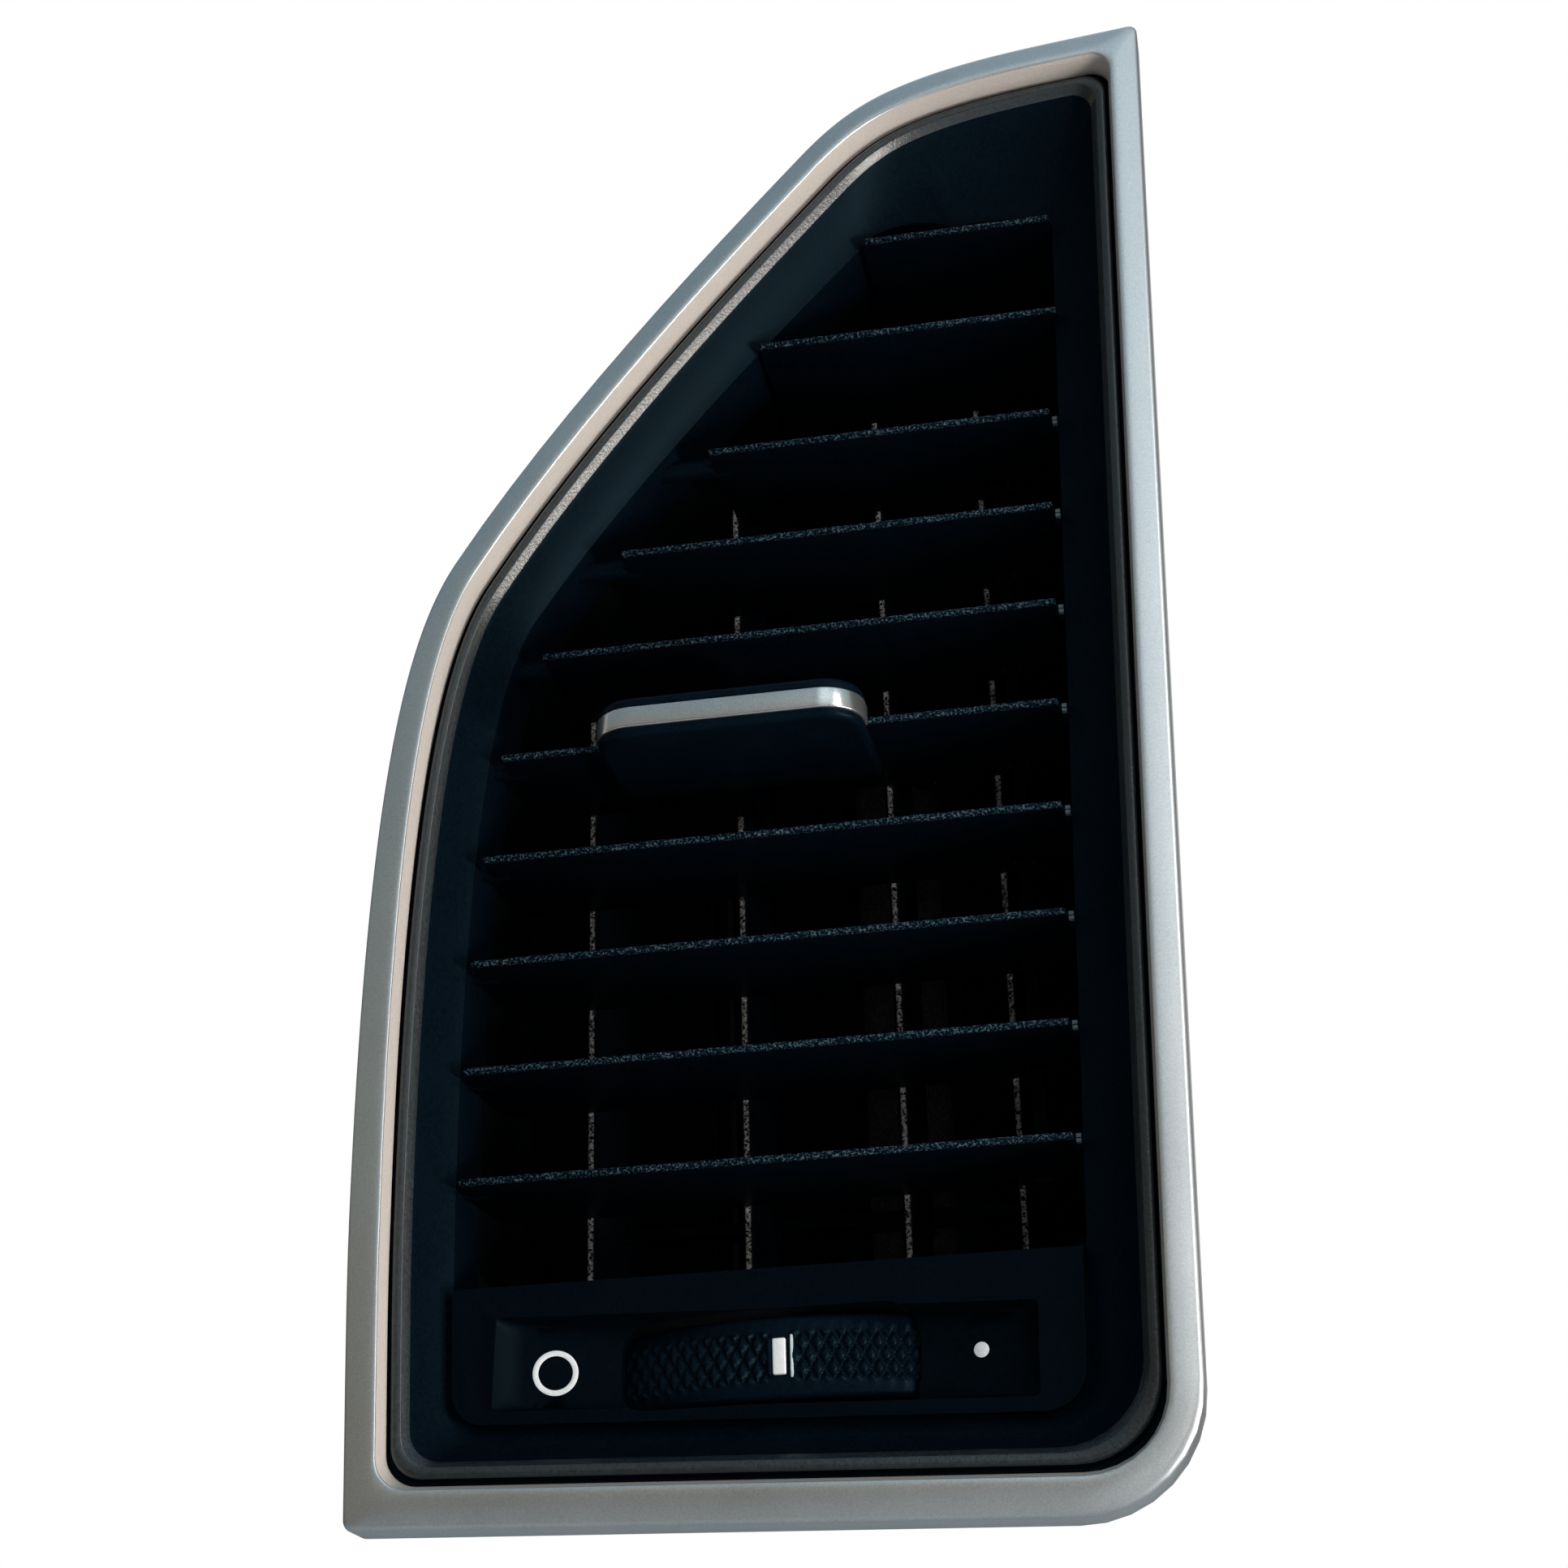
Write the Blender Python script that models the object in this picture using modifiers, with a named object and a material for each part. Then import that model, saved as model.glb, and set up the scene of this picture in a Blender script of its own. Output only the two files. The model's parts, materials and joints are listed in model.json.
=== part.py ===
"""Dashboard air vent: trim ring, funnel shroud, turning slats, sliding knob, upright vanes and damper.

X runs to the right as the driver faces it, Y into the dashboard and Z up. The origin is the middle of
the whole vent. All sizes are in metres and all angles in degrees unless a name says otherwise.
"""

import math

import bmesh
import bpy
from mathutils import Matrix, Vector, geometry

# Overall size, with the depth added up from front to rear further on
WIDTH = 0.102
HEIGHT = 0.1924
GAP = 0.0003
WALL = 0.0018
CUT_REACH = 0.010

# Outline of the face: each knot is its place as a share of the half width and half height, its heading
# and how far its handles reach back and on
TOP_RIGHT = (1.0, 1.0, 185.5, 0.0, 0.012)
SHOULDER_TOP = (0.353, 0.9475, 200.5, 0.010, 0.0055)
SHOULDER_END = (0.108, 0.857, 226.5, 0.0055, 0.020)
DIAGONAL_END = (-0.796, 0.278, 237.5, 0.024, 0.011)
LEFT_WIDEST = (-1.0, -0.602, 270.0, 0.056, 0.010)
BOTTOM_LEFT = (-0.984, -0.964, 271.3, 0.010, 0.0)
OUTLINE_KNOTS = (TOP_RIGHT, SHOULDER_TOP, SHOULDER_END, DIAGONAL_END, LEFT_WIDEST, BOTTOM_LEFT)
KNOT_STEPS = (4, 5, 4, 10, 3)
BOTTOM_RIGHT = (0.867, -0.999)
CORNER_STEPS = 4
EDGE_STEPS = 4

# Trim ring
TRIM_THICKNESS = 0.003
TRIM_LIP = 0.004
TRIM_FACE = 0.0033
TRIM_BOTTOM_EXTRA = 0.0014
TRIM_CROWN = 0.0005
TRIM_CORNERS = (0.0010, 0.0013, 0.0140)
TRIM_INNER_CORNERS = (0.0027, 0.0038, 0.0095)

# Shroud
FLANGE_THICKNESS = 0.0026
RIM_INSET = 0.0047
RIM_WIDTH = 0.0016
THROAT_DEPTH = 0.0096
SHROUD_BEHIND_PINS = 0.0060
THROAT_RIGHT = 0.0127
THROAT_BOTTOM = 0.0124
THROAT_CURVE = (0.0232, 0.0180, 0.0114, 0.0095, 0.0100, 0.0100)
THROAT_CORNERS = (0.0025, 0.0040, 0.0050)
JOINT_FLANGE = 0.0050
JOINT_FLANGE_THICKNESS = 0.0016

# Slats
PIVOT_DEPTH = 0.0130
SLAT_COUNT = 8
SLAT_ABOVE_PANEL = 0.0134
SLAT_CHORD = 0.0220
SLAT_NOSE_AHEAD = 0.0055
SLAT_THICKNESS = 0.0016
SLAT_EDGE = 0.0009
SLAT_DROOP = 3.0
SLAT_DROP = 0.00045
SLAT_SWING = 20.0
SLAT_END_GAP = 0.0008
SLAT_PIN_RADIUS = 0.0013
PIN_CLEARANCE = 0.0003
FIXED_SLAT_PITCH = 0.01445
ROOF_GAP = 0.0032
FIXED_SLAT_ROOT = 0.0065
STRIP_THICKNESS = 0.0024
STRIP_DEPTH = 0.0062

# Link bar of the slats
LINK_FROM_WALL = 0.0080
LINK_ARM = 0.0145
LINK_THICKNESS = 0.0016
LINK_WIDTH = 0.0044
LINK_PIN_RADIUS = 0.0009
LINK_NOTCH_WIDTH = 0.0028

# Knob, which rides on the fourth turning slat
KNOB_SLAT = 4
KNOB_FROM_FORK = 0.0041
KNOB_WIDTH = 0.0332
KNOB_DEPTH = 0.0190
KNOB_AHEAD = 0.0070
KNOB_ABOVE = 0.0024
KNOB_BELOW = 0.0030
KNOB_CORNER = 0.0050
KNOB_TRAVEL = 0.0048
STRIP_HEIGHT = 0.0030
STRIP_DROP = 0.00045
STRIP_WALL = 0.0009
FORK_REACH = 0.0160
FORK_THICKNESS = 0.0030
FORK_PRONG = 0.0016
FORK_GAP = 0.0024

# Upright vanes
SIDE_VANE_SPREAD = (0.0, 0.370, 0.738, 1.0)
SIDE_VANE_FROM_LEFT = 0.0077
SIDE_VANE_FROM_RIGHT = 0.0112
SIDE_VANE_GAP = 0.0020
SIDE_VANE_AHEAD = 0.0110
SIDE_VANE_CHORD = 0.0200
SIDE_VANE_THICKNESS = 0.0015
SIDE_PIN_RADIUS = 0.0012
FORKED_VANE = 1
FORK_BAR_RADIUS = 0.0009
FORK_BAR_ARM = 0.0101
FORK_WINDOW_HALF = 0.0105
SIDE_LINK_RISE = 0.0026
SIDE_LINK_ARM = 0.0075

# Duct and collar
FLOOR_ABOVE_PANEL = 0.0020
DUCT_BEHIND_VANES = 0.0025
TAPER_DEPTH = 0.0150
COLLAR_LENGTH = 0.0290
COLLAR_WIDTH = 0.0360
COLLAR_HEIGHT = 0.0900
COLLAR_SHIFT = -0.0028
COLLAR_RISE = 0.0040
COLLAR_CORNER = 0.0030
SEAL_THICKNESS = 0.0040
SEAL_LENGTH = 0.0080

# Control panel
PANEL_SETBACK = 0.0080
PANEL_RISE = 0.0280
PANEL_THICKNESS = 0.0018
DISH_FROM_LEFT = 0.0051
DISH_FROM_RIGHT = 0.0055
DISH_HEIGHT = 0.0107
DISH_SLANT = 1.9
DISH_END_DEPTH = 0.0016
DISH_DEPTH = 0.0046
WHEEL_DROP = 0.0100
SLOT_WIDTH = 0.0346
SLOT_SHIFT = -0.0016
SLOT_HEIGHT = 0.0106
SLOT_CORNER = 0.0035
WHEEL_ROOM = 0.0004

# Thumbwheel
WHEEL_SHIFT = -0.0010
WHEEL_RADIUS = 0.0340
WHEEL_PROUD = -0.0005
WHEEL_HEIGHT = 0.0094
WHEEL_RIM = 0.0028
WHEEL_WEB = 0.0030
WHEEL_WEB_RADIUS = 0.0190
WHEEL_SECTOR = 62.0
WHEEL_SWING = 25.0
WHEEL_PIN_RADIUS = 0.0020
HUB_RADIUS = 0.0048
KNURL_HEIGHT = 0.0067
KNURL_DEPTH = 0.0005
KNURL_PITCH = 1.3
KNURL_ROWS = 8
MARKER_BAND = 2.6
MARKER_WIDTH = 0.0015
MARKER_HEIGHT = 0.0041
MARKER_DEPTH = 0.0016

# Damper
FLAP_SETBACK = 0.0070
FLAP_THICKNESS = 0.0016
FLAP_EDGE_GAP = 0.0005
FLAP_REST_ANGLE = 50.0
FLAP_STOP_HEIGHT = 0.0032
FLAP_STOP_THICKNESS = 0.0016
FLAP_AXLE_RADIUS = 0.0022
FLAP_BOSS_RADIUS = 0.0042
FLAP_FOAM = 0.0012
CRANK_ARM = 0.0140
CRANK_THICKNESS = 0.0026
CRANK_HALF_WIDTH = 0.0040
CRANK_PIN_RADIUS = 0.0015
ROD_DROP = 0.0020
ROD_THICKNESS = 0.0016
ROD_WIDTH = 0.0060
TRAY_DROP = 0.0045
TRAY_SIDE_GAP = 0.0006
TRAY_BEHIND_FLAP = 0.0090
TRAY_WALL = 0.0016
TRAY_LOW_WALL = 0.0105
TRAY_STEP_BEHIND_PIN = 0.0120
TRAY_STEP = 0.0050

# Fixings
CLIP_RIB_LENGTH = 0.0100
CLIP_RIB_HEIGHT = 0.0052
CLIP_RIB_THICKNESS = 0.0016
CLIP_STEEL = 0.0005
CLIP_WIDTH = 0.0080
CLIP_SETBACK = 0.0110
CLIPS_ABOVE_FLOOR = ((1.0, 0.1030), (1.0, 0.0280), (-1.0, 0.0480), (-1.0, 0.0150))
SCREW_RADIUS = 0.0010
SCREW_HEAD_RADIUS = 0.0020
SCREW_HEAD = 0.0014
SCREW_LENGTH = 0.0040

# Depths worked out from the sizes above
SLAT_TAIL_DEPTH = PIVOT_DEPTH - SLAT_NOSE_AHEAD + SLAT_CHORD
SIDE_VANE_DEPTH = SLAT_TAIL_DEPTH + SIDE_VANE_GAP + SIDE_VANE_AHEAD
STRAIGHT_DEPTH = SIDE_VANE_DEPTH - SIDE_VANE_AHEAD + SIDE_VANE_CHORD + DUCT_BEHIND_VANES
COLLAR_DEPTH = STRAIGHT_DEPTH + TAPER_DEPTH
DEPTH = COLLAR_DEPTH + COLLAR_LENGTH
FRONT = -DEPTH / 2
REAR = DEPTH / 2
THROAT_Y = FRONT + THROAT_DEPTH
PIVOT_Y = FRONT + PIVOT_DEPTH
SHROUD_REAR = PIVOT_Y + SHROUD_BEHIND_PINS
SIDE_VANE_Y = FRONT + SIDE_VANE_DEPTH
DUCT_STRAIGHT_REAR = FRONT + STRAIGHT_DEPTH
COLLAR_FRONT = FRONT + COLLAR_DEPTH
PANEL_Y = FRONT + PANEL_SETBACK
FLAP_Y = COLLAR_FRONT + FLAP_SETBACK
TRAY_REAR = FLAP_Y + TRAY_BEHIND_FLAP
FLANGE_FRONT = FRONT + TRIM_THICKNESS + GAP
SEAT_Y = FLANGE_FRONT + FLANGE_THICKNESS
DUCT_FRONT = SHROUD_REAR + GAP
CLIP_Y = SHROUD_REAR + CLIP_SETBACK
WHEEL_Y = PANEL_Y - WHEEL_PROUD + WHEEL_RADIUS
FLAP_SHUT_ANGLE = FLAP_REST_ANGLE + WHEEL_SWING
FLAP_HALF = (COLLAR_WIDTH / 2 - FLAP_EDGE_GAP) / math.sin(math.radians(FLAP_SHUT_ANGLE))


def clear_scene():
    """Remove every object of the open scene."""
    for obj in list(bpy.data.objects):
        bpy.data.objects.remove(obj, do_unlink=True)


clear_scene()
PARTS = bpy.data.collections.new("dashboard_air_vent")
CUTTERS = bpy.data.collections.new("cutters")
bpy.context.scene.collection.children.link(PARTS)
bpy.context.scene.collection.children.link(CUTTERS)


def material(name, colour, roughness, metallic=0.0):
    """Principled material of one colour, roughness and metallic value."""
    made = bpy.data.materials.new(name)
    made.use_nodes = True
    shader = made.node_tree.nodes["Principled BSDF"]
    shader.inputs["Base Color"].default_value = (*colour, 1.0)
    shader.inputs["Roughness"].default_value = roughness
    shader.inputs["Metallic"].default_value = metallic
    return made


BLACK_PLASTIC = (0.016, 0.018, 0.021)
DARK_PLASTIC = (0.010, 0.011, 0.013)
SATIN_SILVER = (0.52, 0.54, 0.56)
WHITE_PLASTIC = (0.86, 0.87, 0.88)
SPRING_STEEL = (0.42, 0.43, 0.45)
GREY_FOAM = (0.06, 0.06, 0.065)


def finish(obj, colour, roughness, metallic=0.0, smooth_angle=35.0):
    """Give an object its own material and smooth its round faces."""
    obj.data.materials.clear()
    obj.data.materials.append(material(obj.name + "_finish", colour, roughness, metallic))
    obj.data.shade_smooth()
    obj.data.set_sharp_from_angle(angle=math.radians(smooth_angle))
    return obj


def object_from(name, bm, collection=None):
    """Turn a bmesh into an object of the parts collection, or of another."""
    bmesh.ops.recalc_face_normals(bm, faces=bm.faces)
    mesh = bpy.data.meshes.new(name)
    bm.to_mesh(mesh)
    bm.free()
    obj = bpy.data.objects.new(name, mesh)
    (collection or PARTS).objects.link(obj)
    return obj


def tool_from(name, bm):
    """Turn a bmesh into a hidden cutter."""
    obj = object_from(name, bm, CUTTERS)
    obj.hide_render = True
    obj.display_type = "WIRE"
    return obj


def combine(target, tool, operation):
    """Cut a tool from a target, or join it on, with a Boolean that stays on the object."""
    tool.parent = target
    tool.matrix_parent_inverse = Matrix.Translation(target.location).inverted()
    modifier = target.modifiers.new(tool.name, "BOOLEAN")
    modifier.operation = operation
    modifier.solver = "EXACT"
    modifier.object = tool


def cut(target, bm, name):
    """Cut a shape from a target."""
    combine(target, tool_from(f"{target.name}_{name}", bm), "DIFFERENCE")


def join(target, bm, name):
    """Join a shape to a target."""
    combine(target, tool_from(f"{target.name}_{name}", bm), "UNION")


def set_pivot(obj, pivot):
    """Move an object's origin to its joint's axis and leave its shape where it is."""
    obj.data.transform(Matrix.Translation(-Vector(pivot)))
    obj.location = pivot


def ride_on(child, carrier):
    """Parent one piece to another and keep its place."""
    child.parent = carrier
    child.matrix_parent_inverse = Matrix.Translation(carrier.location).inverted()


def box(low, high):
    """Box between two corners."""
    low = Vector(low)
    high = Vector(high)
    bm = bmesh.new()
    bmesh.ops.create_cube(bm, size=1.0)
    bmesh.ops.scale(bm, vec=high - low, verts=bm.verts)
    bmesh.ops.translate(bm, vec=(low + high) / 2, verts=bm.verts)
    return bm


def rod(start, end, radius, segments=16):
    """Round rod between two points on a line along X, Y or Z."""
    start = Vector(start)
    end = Vector(end)
    along = end - start
    bm = bmesh.new()
    bmesh.ops.create_cone(bm, cap_ends=True, segments=segments, radius1=radius, radius2=radius,
                          depth=along.length)
    turn = Vector((0.0, 0.0, 1.0)).rotation_difference(along.normalized()).to_matrix()
    bmesh.ops.rotate(bm, cent=(0.0, 0.0, 0.0), matrix=turn, verts=bm.verts)
    bmesh.ops.translate(bm, vec=(start + end) / 2, verts=bm.verts)
    return bm


def prism(points, axis, start, end):
    """Flat outline extruded along an axis. The points are (y, z), (x, z) or (x, y)."""
    places = {
        "X": lambda p: (start, p[0], p[1]),
        "Y": lambda p: (p[0], start, p[1]),
        "Z": lambda p: (p[0], p[1], start),
    }
    steps = {"X": Vector((1, 0, 0)), "Y": Vector((0, 1, 0)), "Z": Vector((0, 0, 1))}
    bm = bmesh.new()
    face = bm.faces.new([bm.verts.new(places[axis](point)) for point in points])
    made = bmesh.ops.extrude_face_region(bm, geom=[face])
    moved = [item for item in made["geom"] if isinstance(item, bmesh.types.BMVert)]
    bmesh.ops.translate(bm, vec=steps[axis] * (end - start), verts=moved)
    return bm


def loft(rings):
    """Closed body through rings of equal counts, with the last ring joined back to the first."""
    bm = bmesh.new()
    rows = [[bm.verts.new(point) for point in ring] for ring in rings]
    count = len(rows[0])
    for index, row in enumerate(rows):
        following = rows[(index + 1) % len(rows)]
        for place in range(count):
            beside = (place + 1) % count
            bm.faces.new((row[place], row[beside], following[beside], following[place]))
    return bm


def arc(centre, radius, start, end, steps):
    """Points of an arc between two angles."""
    points = []
    for step in range(steps + 1):
        angle = math.radians(start + (end - start) * step / steps)
        points.append((centre[0] + radius * math.cos(angle), centre[1] + radius * math.sin(angle)))
    return points


def rounded_rectangle(low, high, radius, steps=4):
    """Rectangle with round corners, anticlockwise from its lower right corner."""
    corners = (
        (high[0] - radius, low[1] + radius, -90.0),
        (high[0] - radius, high[1] - radius, 0.0),
        (low[0] + radius, high[1] - radius, 90.0),
        (low[0] + radius, low[1] + radius, 180.0),
    )
    points = []
    for x, y, start in corners:
        points += arc((x, y), radius, start, start + 90.0, steps)
    return points


def capsule(start, end, radius, steps=8):
    """Outline of a bar with round ends between two points."""
    heading = math.degrees(math.atan2(end[1] - start[1], end[0] - start[0]))
    points = arc(end, radius, heading - 90.0, heading + 90.0, steps)
    return points + arc(start, radius, heading + 90.0, heading + 270.0, steps)


def crossing(point_a, heading_a, point_b, heading_b):
    """Crossing of two lines, each given by a point and a heading vector."""
    cross = heading_a.x * heading_b.y - heading_a.y * heading_b.x
    apart = point_b - point_a
    along = (apart.x * heading_b.y - apart.y * heading_b.x) / cross
    return point_a + heading_a * along


def left_of(heading):
    """Vector that points to the left of a heading, into an anticlockwise outline."""
    return Vector((-heading.y, heading.x))


def corner_arc(corner, heading_in, heading_out, radius):
    """Arc that rounds a corner between two headings."""
    turn = heading_in.angle_signed(heading_out)
    reach = radius * math.tan(abs(turn) / 2)
    start = corner - heading_in * reach
    centre = start + left_of(heading_in) * radius
    first = math.degrees(math.atan2(start.y - centre.y, start.x - centre.x))
    return [Vector(p) for p in arc(centre, radius, first, first + math.degrees(abs(turn)), CORNER_STEPS)]


def spaced(path, steps):
    """Points at even distances along a path."""
    lengths = [(b - a).length for a, b in zip(path, path[1:])]
    total = sum(lengths)
    points = [path[0]]
    for step in range(1, steps):
        left = total * step / steps
        place = 0
        while left > lengths[place]:
            left -= lengths[place]
            place += 1
        points.append(path[place].lerp(path[place + 1], left / lengths[place]))
    return points + [path[-1]]


def face_curve():
    """Points and headings of the long curve from the top right corner to the bottom left one."""
    half = Vector((WIDTH / 2, HEIGHT / 2))
    points = []
    shares = []
    for index, steps in enumerate(KNOT_STEPS):
        knot = OUTLINE_KNOTS[index]
        after = OUTLINE_KNOTS[index + 1]
        start = Vector((knot[0] * half.x, knot[1] * half.y))
        end = Vector((after[0] * half.x, after[1] * half.y))
        out = math.radians(knot[2])
        into = math.radians(after[2])
        handle_a = start + Vector((math.cos(out), math.sin(out))) * knot[4]
        handle_b = end - Vector((math.cos(into), math.sin(into))) * after[3]
        made = geometry.interpolate_bezier(start, handle_a, handle_b, end, steps + 1)
        for step in range(steps + (index == len(KNOT_STEPS) - 1)):
            points.append(Vector(made[step]))
            shares.append(index + step / steps)
    headings = []
    for index in range(len(points)):
        before = points[max(index - 1, 0)]
        after = points[min(index + 1, len(points) - 1)]
        headings.append((after - before).normalized())
    return points, headings, shares


FACE_POINTS, FACE_HEADINGS, FACE_SHARES = face_curve()
FACE_CORNER = [Vector((BOTTOM_RIGHT[0] * WIDTH / 2, BOTTOM_RIGHT[1] * HEIGHT / 2))]


def outline(curve, right, bottom, corners, floor=None):
    """Face outline moved inwards along each side, as (x, z) points, anticlockwise from the front.

    The curve's inset is one value, or one for each knot. The corners are the top right, bottom left
    and bottom right radii. A floor puts a level lower side at that height in place of the inset one.
    """
    insets = curve if isinstance(curve, tuple) else (curve,) * len(OUTLINE_KNOTS)
    moved = []
    for point, heading, share in zip(FACE_POINTS, FACE_HEADINGS, FACE_SHARES):
        knot = min(int(share), len(insets) - 2)
        inset = insets[knot] + (insets[knot + 1] - insets[knot]) * (share - knot)
        moved.append(point + left_of(heading) * inset)
    top_right = FACE_POINTS[0]
    bottom_left = FACE_POINTS[-1]
    bottom_right = FACE_CORNER[0]
    along_bottom = (bottom_right - bottom_left).normalized()
    along_right = (top_right - bottom_right).normalized()
    bottom_start = bottom_left + left_of(along_bottom) * bottom
    if floor is not None:
        along_bottom = Vector((1.0, 0.0))
        bottom_start = Vector((0.0, floor))
    right_start = bottom_right + left_of(along_right) * right
    inward = left_of(along_right)
    first = next(i for i, point in enumerate(moved) if (point - right_start).dot(inward) > 0)
    start = max(first, 1)
    along_top = (moved[start] - moved[start - 1]).normalized()
    inward = left_of(along_bottom)
    final = max(i for i, point in enumerate(moved) if (point - bottom_start).dot(inward) > 0)
    end = min(final, len(moved) - 2)
    along_left = (moved[end + 1] - moved[end]).normalized()
    corner_a = crossing(right_start, along_right, moved[start], along_top)
    corner_c = crossing(moved[end], along_left, bottom_start, along_bottom)
    corner_b = crossing(bottom_start, along_bottom, right_start, along_right)
    arc_a = corner_arc(corner_a, along_right, along_top, corners[0])
    arc_c = corner_arc(corner_c, along_left, along_bottom, corners[1])
    arc_b = corner_arc(corner_b, along_bottom, along_right, corners[2])
    shoulder = KNOT_STEPS[0]
    widest = len(moved) - 1 - KNOT_STEPS[-1]
    clear_a = (arc_a[-1] - corner_a).length + 0.0002
    clear_c = (arc_c[0] - corner_c).length + 0.0002
    upper = [p for p in moved[first:shoulder] if (p - corner_a).length > clear_a]
    lower = [p for p in moved[widest + 1:final + 1] if (p - corner_c).length > clear_c]
    points = arc_a + spaced([arc_a[-1]] + upper + [moved[shoulder]], shoulder)[1:]
    points += moved[shoulder + 1:widest]
    points += spaced([moved[widest]] + lower + [arc_c[0]], KNOT_STEPS[-1])[:-1] + arc_c
    points += [arc_c[-1].lerp(arc_b[0], step / EDGE_STEPS) for step in range(1, EDGE_STEPS)]
    points += arc_b
    points += [arc_b[-1].lerp(arc_a[0], step / EDGE_STEPS) for step in range(1, EDGE_STEPS)]
    return points


def fit_face():
    """Bring the outline, whose corners are rounded, to the full width and height about the origin."""
    points = outline(0.0, 0.0, 0.0, TRIM_CORNERS)
    across = [point.x for point in points]
    up = [point.y for point in points]
    middle = Vector((max(across) + min(across), max(up) + min(up))) / 2
    scale = Vector((WIDTH / (max(across) - min(across)), HEIGHT / (max(up) - min(up))))
    for point in FACE_POINTS + FACE_CORNER:
        point -= middle
        point *= scale


fit_face()


def ring(points, y):
    """Outline set at a depth."""
    return [Vector((point.x, y, point.y)) for point in points]


def trim_outline(inset, corners):
    """Outline of the trim ring, whose lower bar is wider than its sides."""
    share = min(inset / TRIM_FACE, 1.0)
    return outline(inset, inset, inset + TRIM_BOTTOM_EXTRA * share, corners)


def throat_outline(outset=0.0, floor=None):
    """Outline of the shroud's throat, moved outwards."""
    curve = tuple(inset - outset for inset in THROAT_CURVE)
    corners = tuple(max(radius + min(outset, WALL) * 0.5, 0.0008) for radius in THROAT_CORNERS)
    return outline(curve, THROAT_RIGHT - outset, THROAT_BOTTOM - outset, corners, floor)


def duct_outline(outset):
    """Outline of the duct, which stops at its floor."""
    return throat_outline(outset, FLOOR_Z - outset)


def span_at(points, z):
    """Left and right X where an outline crosses a height."""
    found = []
    for index, point in enumerate(points):
        after = points[(index + 1) % len(points)]
        if (point.y - z) * (after.y - z) < 0:
            found.append(point.x + (after.x - point.x) * (z - point.y) / (after.y - point.y))
    return min(found), max(found)


def top_at(points, x):
    """Highest Z where an outline crosses a place along X."""
    found = []
    for index, point in enumerate(points):
        after = points[(index + 1) % len(points)]
        if (point.x - x) * (after.x - x) < 0:
            found.append(point.y + (after.y - point.y) * (x - point.x) / (after.x - point.x))
    return max(found)


def below(points, z):
    """Part of an outline that lies below a height."""
    kept = []
    for index, point in enumerate(points):
        after = points[(index + 1) % len(points)]
        if point.y <= z:
            kept.append(point)
        if (point.y - z) * (after.y - z) < 0:
            kept.append(point.lerp(after, (z - point.y) / (after.y - point.y)))
    return kept


def blend(ring_a, ring_b, share, y):
    """Ring between two rings, set at a depth."""
    return [Vector((a.x + (b.x - a.x) * share, y, a.z + (b.z - a.z) * share))
            for a, b in zip(ring_a, ring_b)]


THROAT = throat_outline()

# Heights, from the vent's lower corner and the throat's roof
PANEL_TOP = FACE_POINTS[-1].y + PANEL_RISE
WHEEL_Z = PANEL_TOP - WHEEL_DROP
FLOOR_Z = PANEL_TOP + FLOOR_ABOVE_PANEL
ROD_Z = FLOOR_Z - WALL - ROD_DROP
TRAY_BOTTOM = WHEEL_Z - WHEEL_HEIGHT / 2 - TRAY_DROP
COLLAR_BOTTOM = FLOOR_Z + COLLAR_RISE
COLLAR_TOP = COLLAR_BOTTOM + COLLAR_HEIGHT
ROOF_Z = max(point.y for point in THROAT)
FIXED_SLAT_Z = (ROOF_Z - ROOF_GAP - FIXED_SLAT_PITCH, ROOF_Z - ROOF_GAP)
SLAT_TOP_Z = FIXED_SLAT_Z[0] - FIXED_SLAT_PITCH
SLAT_LOW_Z = PANEL_TOP + SLAT_ABOVE_PANEL
SLAT_PITCH = (SLAT_TOP_Z - SLAT_LOW_Z) / (SLAT_COUNT - 1)
KNOB_Z = SLAT_TOP_Z - (KNOB_SLAT - 1) * SLAT_PITCH
SIDE_LINK_Z = SLAT_LOW_Z + SIDE_LINK_RISE

# Places across the vent, from the throat's side walls
WALL_LEFT, WALL_RIGHT = span_at(THROAT, KNOB_Z)
MIDDLE_X = (WALL_LEFT + WALL_RIGHT) / 2
LINK_X = WALL_RIGHT - LINK_FROM_WALL
VANES_LEFT = WALL_LEFT + SIDE_VANE_FROM_LEFT
VANES_RIGHT = WALL_RIGHT - SIDE_VANE_FROM_RIGHT
SIDE_VANE_X = tuple(VANES_LEFT + (VANES_RIGHT - VANES_LEFT) * share for share in SIDE_VANE_SPREAD)
KNOB_X = SIDE_VANE_X[FORKED_VANE] + KNOB_FROM_FORK
COLLAR_X = MIDDLE_X + COLLAR_SHIFT
WHEEL_X = MIDDLE_X + WHEEL_SHIFT
TRAY_HALF = WHEEL_RADIUS + TRAY_SIDE_GAP + TRAY_WALL
TRAY_LEFT = WHEEL_X - TRAY_HALF
TRAY_RIGHT = WHEEL_X + TRAY_HALF
DISH_LEFT = span_at(THROAT, WHEEL_Z)[0] + DISH_FROM_LEFT
DISH_RIGHT = span_at(THROAT, WHEEL_Z)[1] - DISH_FROM_RIGHT


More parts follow.
